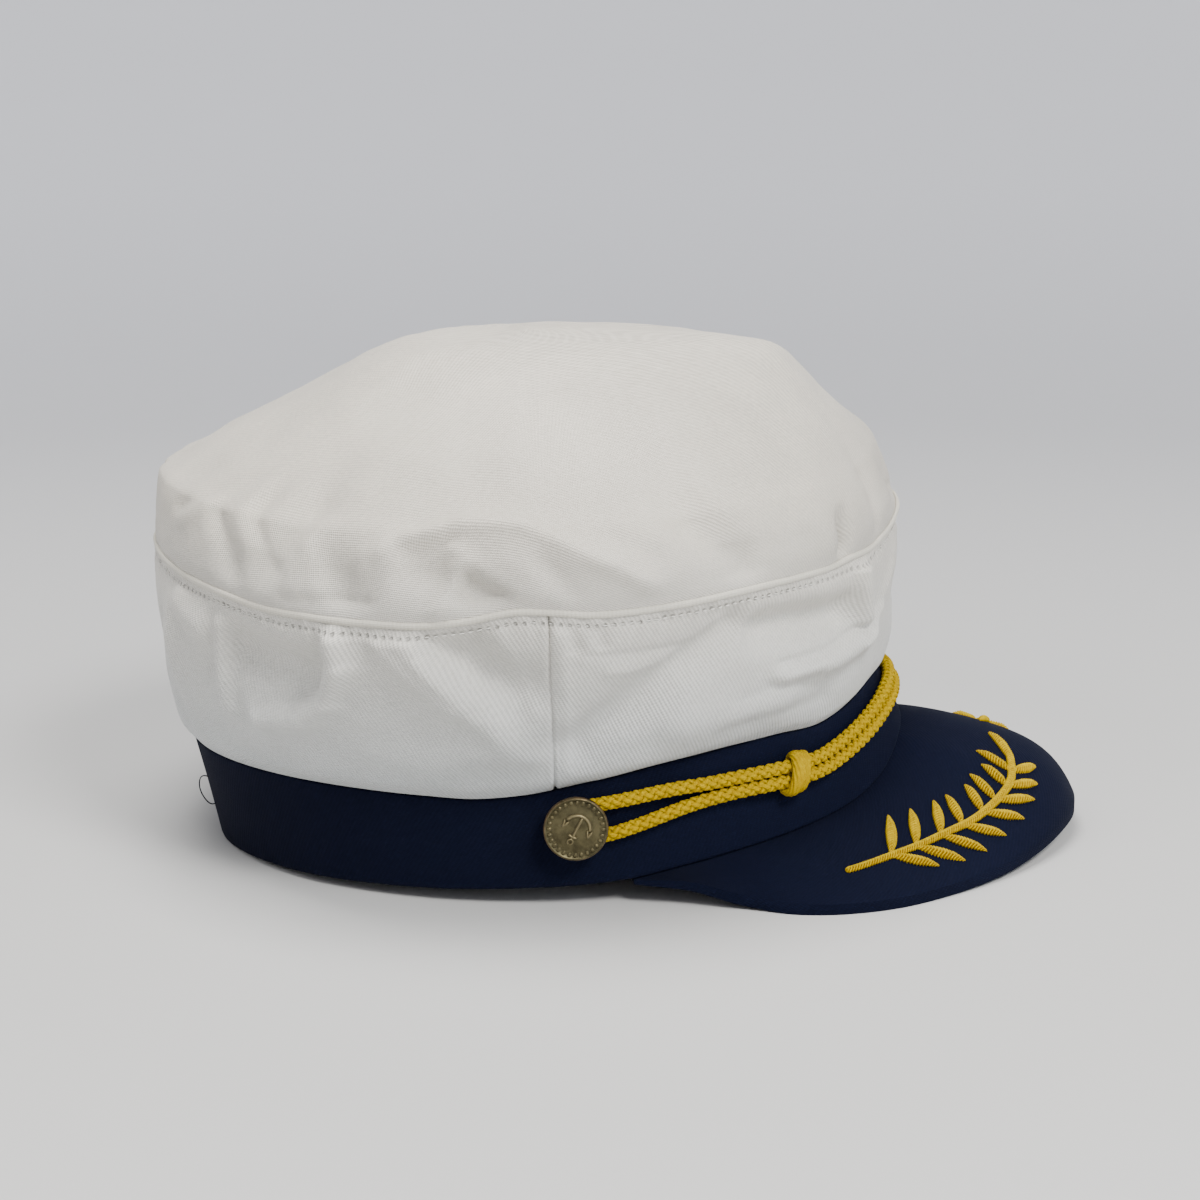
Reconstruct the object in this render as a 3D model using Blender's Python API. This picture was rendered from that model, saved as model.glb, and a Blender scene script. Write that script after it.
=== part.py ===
"""Captain hat: white cotton crown, navy band and peak, braided cord, buttons and laurel sprigs.

+X is forward, +Y is the wearer's left and +Z is up. The hat lies tipped back on a flat surface, on the
rear of its rim and on the two side edges of its peak. The origin is on that surface, below the middle
of the whole hat. Angles are in degrees round the head from the front, positive to the wearer's left.
"""

import math

import bmesh
import bpy
from mathutils import Matrix, Vector

# Gap that touching pieces keep, metres
GAP = 0.0003

# The band, metres
BAND_LENGTH = 0.2025
BAND_WIDTH = 0.160
BAND_HEIGHT = 0.030
BAND_WALL = 0.0020
BAND_LEAN = 0.0075
BAND_TAPER = 0.0008
RIM_LIFT = 0.033

# The white crown, metres
PANEL_HEIGHT = 0.058
PANEL_BULGE = 0.0045
CROWN_LENGTH = 0.213
CROWN_WIDTH = 0.217
CROWN_LEAN = 0.0090
CROWN_RISE = 0.0578
CLOTH_WALL = 0.0016
WELT_HEIGHT = 0.0018
WELT_PROUD = 0.0007
WELT_SLOPE = 1.3
FOLD_DEPTH = 0.0050
FOLD_WIDTH = 0.0095
FOLD_EASE = 0.08
SIDE_SEAM_ANGLE = 85.5

# The peak, metres
PEAK_LENGTH = 0.0522
PEAK_WALL = 0.0030
PEAK_MARGIN = 0.0020
PEAK_END_ANGLE = 78.0
NOSE_POWER = 10
RING_EASE = 1.6

# The cord and its knots, metres
CORD_DIAMETER = 0.0038
CORD_SIDES = 8
CORD_STEP_ANGLE = 6.0
KNOT_LENGTH = 0.0066
KNOT_WALL = 0.0011
KNOT_ANGLE = 48.2

# The buttons, metres
BUTTON_DIAMETER = 0.0170
BUTTON_THICK = 0.0016
BUTTON_RIM = 0.0005
BUTTON_RIM_WIDTH = 0.0012
BUTTON_ANGLE = 84.2
SHANK_DIAMETER = 0.0034
RELIEF_HEIGHT = 0.0005
RELIEF_WIDTH = 0.0013
ANCHOR_SHARE = 0.72

# The embroidered sprigs, metres
THREAD_HEIGHT = 0.0012
STEM_WIDTH = 0.0022
LEAF_WIDTH = 0.0032

# How finely the pieces are divided
ROUND_STEPS = 72
PEAK_STEPS = 38
PEAK_RINGS = 8
STEM_STEPS = 16
KNOT_SIDES = 20
BUTTON_STEPS = 24
SHARP_ANGLE = 40.0

# Step between two places that give a surface's direction: a share of its height or length
NEARBY = 0.01

# Heights round the head: shares of RIM_LIFT, BAND_HEIGHT and PANEL_HEIGHT, and of PANEL_BULGE
ROUND_COLUMNS = ("angle", "rim", "band", "panel", "bulge")
ROUND_ROWS = (
    (0, 1.000, 0.530, 0.830, 0.70),
    (12, 0.915, 0.610, 0.815, 0.70),
    (19, 0.785, 0.720, 0.800, 0.60),
    (27, 0.655, 0.780, 0.800, 0.55),
    (37, 0.550, 0.785, 0.830, 0.60),
    (49, 0.465, 0.865, 0.810, 0.70),
    (60, 0.385, 0.905, 0.810, 0.80),
    (70, 0.300, 0.915, 0.825, 0.90),
    (80, 0.210, 0.900, 0.870, 1.00),
    (90, 0.165, 0.835, 0.945, 1.00),
    (97, 0.145, 0.815, 0.920, 1.00),
    (105, 0.120, 0.850, 0.890, 1.00),
    (120, 0.085, 0.905, 0.885, 1.00),
    (140, 0.045, 0.955, 0.930, 1.00),
    (155, 0.015, 0.985, 0.970, 0.95),
    (163, 0.000, 1.000, 0.990, 0.90),
    (180, 0.000, 1.000, 1.000, 0.90),
)

# Side panel from the band (height 0) to the crown seam (height 1): shares of the way out and of the bulge
PANEL_COLUMNS = ("height", "out", "bulge")
PANEL_ROWS = (
    (0.00, 0.00, 0.00),
    (0.08, 0.10, 0.65),
    (0.24, 0.28, 0.95),
    (0.42, 0.46, 1.00),
    (0.62, 0.66, 0.85),
    (0.82, 0.85, 0.55),
    (1.00, 1.00, 0.00),
)

# Top panel from the crown seam (level 0) to its top (level 1): shares of half the crown's length and width
TOP_COLUMNS = ("level", "back", "front", "side")
TOP_ROWS = (
    (0.00, 1.000, 1.000, 1.000),
    (0.08, 1.002, 1.000, 1.010),
    (0.20, 0.996, 0.982, 1.004),
    (0.34, 0.985, 0.945, 0.965),
    (0.40, 0.930, 0.920, 0.935),
    (0.52, 0.815, 0.868, 0.870),
    (0.65, 0.675, 0.800, 0.785),
    (0.78, 0.530, 0.738, 0.680),
    (0.90, 0.395, 0.668, 0.535),
    (0.97, 0.265, 0.520, 0.375),
    (1.00, 0.060, 0.120, 0.090),
)

# The peak: shares of PEAK_LENGTH past the rim, of RIM_LIFT under its edge and of PEAK_WALL, its bend, and
# the share of its drop that comes all at once at its edge
PEAK_COLUMNS = ("angle", "reach", "edge", "wall", "bend", "nose")
PEAK_ROWS = (
    (0, 1.000, 0.180, 1.00, 1.42, 0.40),
    (6, 0.980, 0.175, 1.00, 1.42, 0.38),
    (13, 0.912, 0.150, 1.00, 1.45, 0.30),
    (20, 0.830, 0.092, 1.00, 1.50, 0.18),
    (28, 0.742, 0.036, 1.00, 1.60, 0.05),
    (37, 0.655, 0.008, 1.00, 1.50, 0.00),
    (45, 0.590, 0.000, 1.00, 1.45, 0.00),
    (52, 0.500, 0.000, 1.00, 1.35, 0.00),
    (57, 0.400, 0.000, 1.00, 1.25, 0.00),
    (63, 0.225, 0.035, 1.00, 1.15, 0.00),
    (71, 0.090, 0.150, 0.80, 1.00, 0.00),
    (78, 0.000, 0.175, 0.40, 1.00, 0.00),
)

# The cord pair from the button round to the front: share of the band's height, how many times their own
# spacing the two runs lie apart, and how far the knot lifts them off the band
CORD_COLUMNS = ("angle", "middle", "spread", "lift")
CORD_ROWS = (
    (0, 0.680, 1.00, 0.00),
    (12, 0.680, 1.00, 0.00),
    (20, 0.680, 1.00, 0.00),
    (29, 0.670, 1.00, 0.00),
    (37, 0.640, 1.00, 0.00),
    (42, 0.615, 1.00, 0.60),
    (46, 0.605, 1.00, 1.00),
    (53, 0.630, 1.00, 1.00),
    (58, 0.645, 1.00, 0.50),
    (63, 0.655, 1.08, 0.00),
    (68, 0.665, 1.42, 0.00),
    (74, 0.655, 1.88, 0.00),
    (81, 0.645, 2.25, 0.00),
    (90, 0.640, 2.30, 0.00),
)

# Main folds of the side panel. Each runs from one angle and level to another; then come its width as a
# share of FOLD_WIDTH and its rise as a share of FOLD_DEPTH, which is below 0 for a hollow
PANEL_FOLDS = (
    (-131, 0.72, -119, 0.66, 0.95, -1.00),
    (-113, 0.84, -113, 0.62, 0.50, 0.45),
    (-113, 0.60, -121, 0.40, 0.60, 0.60),
    (-121, 0.40, -131, 0.35, 0.60, 0.50),
    (-134, 0.78, -137, 0.35, 0.45, 0.35),
    (-151, 0.65, -147, 0.40, 0.80, 0.45),
    (-105, 0.90, -93, 0.37, 0.80, 0.40),
    (-45, 0.66, -60, 0.46, 0.90, -0.60),
    (-60, 0.46, -80, 0.33, 0.90, -0.50),
    (-38, 0.46, -53, 0.54, 0.80, -0.90),
    (-26, 0.55, -38, 0.46, 0.80, -0.70),
    (-32, 0.78, -50, 0.76, 0.90, 0.45),
    (-12, 0.50, 14, 0.50, 1.00, -0.45),
    (-50, 0.30, -66, 0.30, 0.90, 0.40),
    (-62, 0.76, -76, 0.66, 1.00, 0.40),
    (62, 0.68, 82, 0.42, 1.00, -0.60),
    (56, 0.38, 70, 0.26, 0.90, 0.40),
    (100, 0.80, 112, 0.40, 0.90, 0.45),
    (122, 0.70, 134, 0.60, 1.00, -0.70),
    (148, 0.66, 152, 0.30, 0.90, 0.45),
    (176, 0.72, 194, 0.58, 1.00, -0.50),
)

# Main folds of the top panel, as above
TOP_FOLDS = (
    (-116, 0.20, -109, 0.13, 0.90, -0.50),
    (-107, 0.27, -99, 0.34, 0.50, 0.30),
    (-99, 0.34, -89, 0.30, 0.50, 0.35),
    (-89, 0.30, -83, 0.20, 0.50, 0.30),
    (-102, 0.20, -91, 0.12, 0.70, -0.70),
    (-71, 0.46, -65, 0.14, 0.90, -0.60),
    (-76, 0.34, -71, 0.20, 0.90, 0.45),
    (-59, 0.26, -57, 0.12, 0.90, 0.45),
    (-35, 0.20, -37, 0.06, 0.60, -0.60),
    (-146, 0.36, -138, 0.12, 0.60, -0.40),
    (-130, 0.38, -125, 0.12, 0.60, -0.40),
    (-20, 0.36, -4, 0.16, 1.10, -0.50),
    (38, 0.30, 52, 0.12, 1.00, -0.55),
    (84, 0.34, 98, 0.24, 0.90, 0.45),
    (108, 0.28, 122, 0.12, 1.00, -0.60),
    (150, 0.30, 166, 0.14, 1.00, -0.50),
)

# A sprig's stem, from its foot to the front of the peak: places on the peak
STEM_COLUMNS = ("step", "angle", "share")
STEM_ROWS = (
    (0.0, 49.0, 0.655),
    (0.2, 41.0, 0.630),
    (0.4, 32.3, 0.645),
    (0.6, 23.7, 0.690),
    (0.8, 15.8, 0.705),
    (0.9, 10.5, 0.650),
    (1.0, 3.5, 0.500),
)

# A sprig's leaves: the step where each pair leaves the stem, then the angle and share of its inner tip
# and of its outer tip on the peak
LEAF_ROWS = (
    (0.195, 34.5, 0.29, 36.0, 0.84),
    (0.305, 30.5, 0.35, 32.0, 0.88),
    (0.415, 26.0, 0.41, 28.0, 0.89),
    (0.515, 23.5, 0.44, 23.5, 0.88),
    (0.620, 19.5, 0.49, 19.0, 0.88),
    (0.710, 17.0, 0.48, 15.0, 0.86),
    (0.795, 14.0, 0.51, 12.0, 0.83),
    (0.860, 11.0, 0.45, 8.5, 0.78),
)

# A leaf from its foot to its tip: shares of its length and of LEAF_WIDTH
LEAF_PROFILE = ((0, 0.35), (0.3, 0.9), (0.7, 0.9), (1, 0.15))

# The cord's turn round a button's shank, from its upper run to its lower one, degrees
TURN_ANGLES = (70, 35, 0, -35, -70)

# A knot's sleeve from one end to the other: shares of KNOT_LENGTH and of KNOT_WALL
KNOT_PROFILE = ((-0.5, 0), (-0.5, 0.6), (-0.25, 1), (0.25, 1), (0.5, 0.6), (0.5, 0))

# Right half of the anchor's outline, from the top of its shank down. Across and up are shares of half its
# height, and each is followed by what is added to it, as a share of RELIEF_WIDTH
ANCHOR_ROWS = (
    (0.00, 0.5, 1.00, 0.0),
    (0.00, 0.5, 0.55, 0.0),
    (0.45, 0.0, 0.55, 0.0),
    (0.45, 0.0, 0.55, -1.0),
    (0.00, 0.5, 0.55, -1.0),
    (0.00, 0.5, -1.00, 1.5),
    (0.56, 0.0, -0.45, 0.0),
    (0.75, 0.0, -0.25, 0.0),
    (0.75, 0.0, -0.65, 0.0),
    (0.00, 1.0, -1.00, 0.0),
)


def curves(columns, rows, flat_start=False, flat_end=False):
    """A smooth curve for each named column, read by the first column, that never overshoots its rows."""
    places = [row[0] for row in rows]
    spans = [after - before for before, after in zip(places, places[1:])]

    def curve(values):
        slopes = [(after - before) / span for before, after, span in zip(values, values[1:], spans)]
        tangents = [0.0 if flat_start else slopes[0]]
        for before, after in zip(slopes, slopes[1:]):
            tangents.append(0.0 if before * after <= 0 else 2 * before * after / (before + after))
        tangents.append(0.0 if flat_end else slopes[-1])

        def read(place):
            place = min(max(place, places[0]), places[-1])
            row = max(i for i in range(len(spans)) if i == 0 or places[i] <= place)
            t = (place - places[row]) / spans[row]
            pull_from, pull_to = tangents[row] * spans[row], tangents[row + 1] * spans[row]
            return (values[row] * (2 * t**3 - 3 * t**2 + 1) + pull_from * (t**3 - 2 * t**2 + t)
                    + values[row + 1] * (3 * t**2 - 2 * t**3) + pull_to * (t**3 - t**2))
        return read

    return {name: curve([row[i] for row in rows]) for i, name in enumerate(columns) if i}


ROUND = curves(ROUND_COLUMNS, ROUND_ROWS, flat_start=True, flat_end=True)
PANEL = curves(PANEL_COLUMNS, PANEL_ROWS)
TOP = curves(TOP_COLUMNS, TOP_ROWS)
PEAK = curves(PEAK_COLUMNS, PEAK_ROWS, flat_start=True)
CORD = curves(CORD_COLUMNS, CORD_ROWS, flat_start=True)
STEM = curves(STEM_COLUMNS, STEM_ROWS)


def around(name, angle):
    """A height share at any angle; the hat's left and right sides are alike."""
    return ROUND[name](abs((angle + 180) % 360 - 180))


def oval(angle, length, width, lean=0.0):
    """Point of an oval round the head, and the direction straight out of it."""
    turn = math.radians(angle)
    point = Vector((math.cos(turn) * length / 2 - lean, math.sin(turn) * width / 2, 0))
    out = Vector((math.cos(turn) / length, math.sin(turn) / width, 0)).normalized()
    return point, out


def rim_height(angle):
    return RIM_LIFT * around("rim", angle)


def band_height(angle):
    return BAND_HEIGHT * around("band", angle)


def panel_height(angle):
    return PANEL_HEIGHT * around("panel", angle)


def seam_height(angle):
    return rim_height(angle) + band_height(angle) + panel_height(angle)


def fold(folds, angle, level, height):
    """How far the folds push the cloth out at a place: the strongest ridge and the deepest hollow."""
    per_degree = math.radians(1) * CROWN_WIDTH / 2
    push = [0.0]
    for from_angle, from_level, to_angle, to_level, width, rise in folds:
        away = (angle - from_angle + 180) % 360 - 180
        place = Vector((away * per_degree, (level - from_level) * height))
        run = Vector(((to_angle - from_angle) * per_degree, (to_level - from_level) * height))
        share = min(max(place.dot(run) / run.dot(run), 0), 1)
        distance = (place - run * share).length / (FOLD_WIDTH * width)
        push.append(FOLD_DEPTH * rise * math.exp(-distance**2))
    return max(push) + min(push)


def band_point(angle, share, out_by=0.0):
    """Point on the band's outside, from the rim (share 0) to its top edge (share 1)."""
    taper = BAND_TAPER * share
    point, out = oval(angle, BAND_LENGTH - taper, BAND_WIDTH - taper, BAND_LEAN * share)
    return point + out * out_by + Vector((0, 0, rim_height(angle) + band_height(angle) * share))


def panel_point(angle, level, inward=0.0):
    """Point on the white side panel, from the band (level 0) to the crown seam (level 1)."""
    low, out_low = oval(angle, BAND_LENGTH - BAND_TAPER, BAND_WIDTH - BAND_TAPER, BAND_LEAN)
    high, out_high = oval(angle, CROWN_LENGTH, CROWN_WIDTH, CROWN_LEAN)
    share = PANEL["out"](level)
    out = out_low.lerp(out_high, share).normalized()
    ease = min(level, 1 - level, FOLD_EASE) / FOLD_EASE
    push = PANEL_BULGE * PANEL["bulge"](level) * around("bulge", angle)
    push += fold(PANEL_FOLDS, angle, level, PANEL_HEIGHT) * ease
    bottom = rim_height(angle) + band_height(angle) + GAP
    height = bottom + (seam_height(angle) - GAP / 2 - bottom) * level
    return low.lerp(high, share) + out * (push - inward) + Vector((0, 0, height))


def top_shape(angle, level):
    """Point on the unfolded top panel, from the crown seam (level 0) to the middle of its top (level 1)."""
    turn = math.radians(angle)
    forward = TOP["front" if math.cos(turn) > 0 else "back"](level)
    x = math.cos(turn) * CROWN_LENGTH / 2 * forward - CROWN_LEAN
    y = math.sin(turn) * CROWN_WIDTH / 2 * TOP["side"](level)
    bottom, top = seam_height(angle) + GAP / 2, seam_height(180) + CROWN_RISE
    return Vector((x, y, bottom + (top - bottom) * level))


def top_point(angle, level, out_by=0.0):
    """Point on the folded top panel, or beside it; at the seam the cloth's thickness lies level."""
    level_out = oval(angle, CROWN_LENGTH, CROWN_WIDTH)[1]
    across = top_shape(angle + 1, level) - top_shape(angle - 1, level)
    along = top_shape(angle, min(level + NEARBY, 1)) - top_shape(angle, max(level - NEARBY, 0))
    ease = min(level / FOLD_EASE, 1)
    out = level_out.lerp(across.cross(along).normalized(), ease).normalized()
    return top_shape(angle, level) + out * (fold(TOP_FOLDS, angle, level, CROWN_RISE) * ease + out_by)


def peak_point(angle, share, up=0.0):
    """Point on the top of the peak, from the rim (share 0) to its edge (share 1)."""
    side = abs(angle)
    start, out = oval(angle, BAND_LENGTH, BAND_WIDTH)
    top = rim_height(angle) - GAP
    edge = RIM_LIFT * PEAK["edge"](side) + PEAK_WALL * PEAK["wall"](side)
    nose, share_down = PEAK["nose"](side), max(share, 0)
    drop = (1 - nose) * share_down ** PEAK["bend"](side) + nose * share_down ** NOSE_POWER
    height = top - (top - edge) * drop
    return start + out * (PEAK_LENGTH * PEAK["reach"](side) * share) + Vector((0, 0, height + up))


def cord_frame(angle, side=0):
    """Middle of the cord pair, or of its upper run (side 1) or lower run (side -1), with the directions
    along the run, up the band and out of it.
    """
    def middle(turn):
        share = CORD["middle"](abs(turn))
        along = band_point(turn + 1, share) - band_point(turn - 1, share)
        out = along.cross(band_point(turn, share + NEARBY) - band_point(turn, share - NEARBY)).normalized()
        lift = GAP + CORD_DIAMETER / 2 + (KNOT_WALL + GAP) * CORD["lift"](abs(turn))
        return band_point(turn, share) + out * lift, out
    run = (middle(angle + 1)[0] - middle(angle - 1)[0]).normalized()
    centre, out = middle(angle)
    rise = out.cross(run).normalized()
    spacing = (CORD_DIAMETER + GAP) * CORD["spread"](abs(angle))
    return centre + rise * spacing / 2 * side, run, rise, out


def material(name, colour, roughness, metallic=0.0):
    """A plain material of one colour."""
    made = bpy.data.materials.new(name)
    made.use_nodes = True
    shader = made.node_tree.nodes["Principled BSDF"]
    shader.inputs["Base Color"].default_value = (*colour, 1)
    shader.inputs["Roughness"].default_value = roughness
    shader.inputs["Metallic"].default_value = metallic
    made.diffuse_color = (*colour, 1)
    return made


def skin(sections, ring=False):
    """Closed skin over closed sections of equal count: joined in a ring, or capped at both ends."""
    bm = bmesh.new()
    loops = [[bm.verts.new(point) for point in section] for section in sections]
    pairs = list(zip(loops, loops[1:])) + ([(loops[-1], loops[0])] if ring else [])
    for lower, upper in pairs:
        for i in range(len(lower)):
            bm.faces.new((lower[i - 1], lower[i], upper[i], upper[i - 1]))
    if not ring:
        bm.faces.new(loops[0][::-1])
        bm.faces.new(loops[-1])
    return bm


def make_piece(name, bm, finish):
    """Turn a closed bmesh into a named piece with its faces out."""
    bmesh.ops.triangulate(bm, faces=[face for face in bm.faces if len(face.verts) > 4])
    bmesh.ops.recalc_face_normals(bm, faces=bm.faces)
    mesh = bpy.data.meshes.new(name)
    bm.to_mesh(mesh)
    bm.free()
    mesh.shade_smooth()
    mesh.set_sharp_from_angle(angle=math.radians(SHARP_ANGLE))
    mesh.materials.append(finish)
    piece = bpy.data.objects.new(name, mesh)
    bpy.context.scene.collection.objects.link(piece)
    return piece


def spread_evenly(first, last, steps):
    return [first + (last - first) * i / steps for i in range(steps + 1)]


def make_band(finish):
    """A turned strip of stiffened cloth round the head."""
    turns = spread_evenly(-180, 180, ROUND_STEPS)[:-1]
    outside = [[band_point(turn, share) for turn in turns] for share in (0, 0.5, 1)]
    inside = [[band_point(turn, share, -BAND_WALL) for turn in turns] for share in (1, 0.5, 0)]
    return make_piece("hat_band", skin(outside + inside, ring=True), finish)


def make_panel(name, first, last, finish):
    """One half of the white side panel, from one side seam to the other."""
    seam_gap = math.degrees(GAP / BAND_LENGTH)
    levels = [row[0] for row in PANEL_ROWS]
    steps = round(ROUND_STEPS * (last - first) / 360)
    sections = []
    for turn in spread_evenly(first + seam_gap, last - seam_gap, steps):
        outside = [panel_point(turn, level) for level in levels]
        inside = [panel_point(turn, level, CLOTH_WALL) for level in reversed(levels)]
        sections.append(outside + inside)
    return make_piece(name, skin(sections), finish)


def make_top(finish):
    """The soft round top panel, with the welt that its turned lower edge makes."""
    turns = spread_evenly(-180, 180, ROUND_STEPS)[:-1]
    levels = [row[0] for row in TOP_ROWS]
    welt_top = WELT_HEIGHT / CROWN_RISE
    welt = [(0, WELT_PROUD), (welt_top, WELT_PROUD), (welt_top * WELT_SLOPE, 0)]
    outside = welt + [(level, 0) for level in levels[1:]]
    inside = [(level, -CLOTH_WALL) for level in reversed(levels)]
    rings = [[top_point(turn, *place) for turn in turns] for place in inside + outside]
    return make_piece("crown_top", skin(rings), finish)


def make_peak(finish):
    """The peak: a cloth-covered board that starts under the rim and bends down at its sides."""
    sections = []
    shares = [1 - (1 - step) ** RING_EASE for step in spread_evenly(0, 1, PEAK_RINGS)]
    for turn in spread_evenly(-PEAK_END_ANGLE, PEAK_END_ANGLE, PEAK_STEPS):
        wall = PEAK_WALL * PEAK["wall"](abs(turn))
        margin = oval(turn, BAND_LENGTH, BAND_WIDTH)[1] * (BAND_WALL + PEAK_MARGIN)
        top = [peak_point(turn, 0) - margin] + [peak_point(turn, share) for share in shares]
        bottom = [point - Vector((0, 0, wall)) for point in reversed(top)]
        sections.append(top + bottom)
    return make_piece("peak", skin(sections), finish)


def make_sprig(name, side, finish):
    """A raised satin-stitched sprig: a stem with a pair of leaves at each step."""
    def place(angle, share, up=0.0):
        return peak_point(angle * side, share, GAP + up)

    def strand(points, widths):
        """Ridge of thread through places on the peak, flat below and raised along its middle."""
        sections = []
        for i, (angle, share) in enumerate(points):
            before, after = points[max(i - 1, 0)], points[min(i + 1, len(points) - 1)]
            run = place(*after) - place(*before)
            along = place(angle + 1, share) - place(angle - 1, share)
            up = along.cross(place(angle, share + NEARBY) - place(angle, share - NEARBY))
            up = up.normalized() if up.z > 0 else -up.normalized()
            across = up.cross(run).normalized() * widths[i] / 2
            foot, crest = place(angle, share), THREAD_HEIGHT * min(widths[i] / STEM_WIDTH, 1)
            sections.append([foot - across, foot + across, foot + up * crest])
        return skin(sections)

    steps = spread_evenly(0, 1, STEM_STEPS)
    stem = [(STEM["angle"](step), STEM["share"](step)) for step in steps]
    piece = make_piece(name, strand(stem, [STEM_WIDTH] * len(stem)), finish)
    leaves = bmesh.new()
    for step, *tips in LEAF_ROWS:
        foot = Vector((STEM["angle"](step), STEM["share"](step)))
        for tip in (Vector(tips[:2]), Vector(tips[2:])):
            points = [tuple(foot.lerp(tip, along)) for along, width in LEAF_PROFILE]
            leaf = strand(points, [LEAF_WIDTH * width for along, width in LEAF_PROFILE])
            bmesh.ops.recalc_face_normals(leaf, faces=leaf.faces)
            part_mesh = bpy.data.meshes.new("leaf")
            leaf.to_mesh(part_mesh)
            leaf.free()
            leaves.from_mesh(part_mesh)
            bpy.data.meshes.remove(part_mesh)
    guide = make_piece(name + "_leaves", leaves, finish)
    guide.hide_render = True
    guide.display_type = "WIRE"
    union = piece.modifiers.new("leaves", "BOOLEAN")
    union.operation = "UNION"
    union.object = guide
    union.use_self = True
    return piece


def make_cord(finish):
    """One cord in a closed loop: out from a button, through both knots and back to the other button."""
    end = BUTTON_ANGLE - CORD_STEP_ANGLE / 2
    angles = spread_evenly(-end, end, round(2 * BUTTON_ANGLE / CORD_STEP_ANGLE))
    points = [cord_frame(angle, 1)[0] for angle in angles]
    points += [shank_turn(1, degrees) for degrees in TURN_ANGLES]
    points += [cord_frame(angle, -1)[0] for angle in reversed(angles)]
    points += [shank_turn(-1, degrees) for degrees in reversed(TURN_ANGLES)]
    curve = bpy.data.curves.new("cord", "CURVE")
    curve.dimensions = "3D"
    curve.bevel_depth = CORD_DIAMETER / 2
    curve.bevel_resolution = CORD_SIDES // 2 - 2
    curve.use_fill_caps = True
    spline = curve.splines.new("POLY")
    spline.points.add(len(points) - 1)
    for knot, point in zip(spline.points, points):
        knot.co = (*point, 1)
    spline.use_cyclic_u = True
    curve.materials.append(finish)
    piece = bpy.data.objects.new("cord", curve)
    bpy.context.scene.collection.objects.link(piece)
    return piece


def shank_turn(side, degrees):
    """Point where the cord goes round a button's shank: 90 is its upper run, -90 its lower."""
    centre, run, rise, out = cord_frame(BUTTON_ANGLE * side)
    radius = (CORD_DIAMETER + GAP) * CORD["spread"](BUTTON_ANGLE) / 2
    turn = math.radians(degrees)
    return centre + rise * math.sin(turn) * radius + run * side * math.cos(turn) * radius


def make_knot(name, side, finish):
    """The slide knot: a wound sleeve that holds the two runs of cord together."""
    centre, run, rise, out = cord_frame(KNOT_ANGLE * side)
    hole = CORD_DIAMETER / 2 + GAP
    straight = (CORD_DIAMETER + GAP) / 2
    sections = []
    for place, wall in KNOT_PROFILE:
        section = []
        for i in range(KNOT_SIDES):
            turn = math.tau * (i + 0.5) / KNOT_SIDES
            radius = hole + KNOT_WALL * wall
            upper = straight if math.sin(turn) > 0 else -straight
            section.append(centre + run * place * KNOT_LENGTH + out * math.cos(turn) * radius
                           + rise * (math.sin(turn) * radius + upper))
        sections.append(section)
    return make_piece(name, skin(sections, ring=True), finish)


def make_button(name, side, finish):
    """A round metal button on a plain shank, with a raised rim and a raised anchor."""
    centre, run, rise, out = cord_frame(BUTTON_ANGLE * side)
    seat, back = -CORD_DIAMETER / 2, CORD_DIAMETER / 2 + GAP
    front = back + BUTTON_THICK
    radius, rim = BUTTON_DIAMETER / 2, BUTTON_DIAMETER / 2 - BUTTON_RIM_WIDTH
    profile = ((0, seat), (SHANK_DIAMETER / 2, seat), (SHANK_DIAMETER / 2, back), (radius, back),
               (radius, front + BUTTON_RIM), (rim, front + BUTTON_RIM), (rim, front), (0, front))
    bm = bmesh.new()
    edges = [bm.verts.new((reach, 0, height)) for reach, height in profile]
    edges = [bm.edges.new(pair) for pair in zip(edges, edges[1:])]
    bmesh.ops.spin(bm, geom=bm.verts[:] + bm.edges[:], cent=(0, 0, 0), axis=(0, 0, 1), angle=math.tau,
                   steps=BUTTON_STEPS, use_merge=True)
    bmesh.ops.remove_doubles(bm, verts=bm.verts, dist=GAP / 10)
    placing = Matrix((run, rise, out)).transposed().to_4x4()
    placing.translation = centre
    bmesh.ops.transform(bm, matrix=placing, verts=bm.verts)
    piece = make_piece(name, bm, finish)
    anchor = make_piece(name + "_anchor", anchor_relief(front, rim), finish)
    anchor.data.transform(placing)
    anchor.hide_render = True
    anchor.display_type = "WIRE"
    union = piece.modifiers.new("anchor", "BOOLEAN")
    union.operation = "UNION"
    union.object = anchor
    return piece


def anchor_relief(front, rim):
    """Anchor in flat raised bars: shank, stock and two arms in one outline."""
    reach = rim * ANCHOR_SHARE
    right = [(across * reach + add_across * RELIEF_WIDTH, up * reach + add_up * RELIEF_WIDTH)
             for across, add_across, up, add_up in ANCHOR_ROWS]
    outline = right + [(-x, y) for x, y in reversed(right)]
    bottom = [Vector((x, y, front - BUTTON_THICK / 2)) for x, y in outline]
    top = [Vector((x, y, front + RELIEF_HEIGHT)) for x, y in outline]
    return skin([bottom, top])


def centre_on_floor(pieces):
    """Shift the whole hat so that the origin is on the surface below its middle."""
    bpy.context.view_layer.update()
    ends = [(piece.matrix_world @ Vector(corner)) for piece in pieces for corner in piece.bound_box]
    middle = [(min(end[i] for end in ends) + max(end[i] for end in ends)) / 2 for i in (0, 1)]
    hat = bpy.data.objects.new("hat", None)
    bpy.context.scene.collection.objects.link(hat)
    hat.location = (-middle[0], -middle[1], -min(end.z for end in ends))
    for piece in bpy.context.scene.objects:
        if piece is not hat:
            piece.parent = hat


for old in list(bpy.data.objects):
    bpy.data.objects.remove(old)

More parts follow.
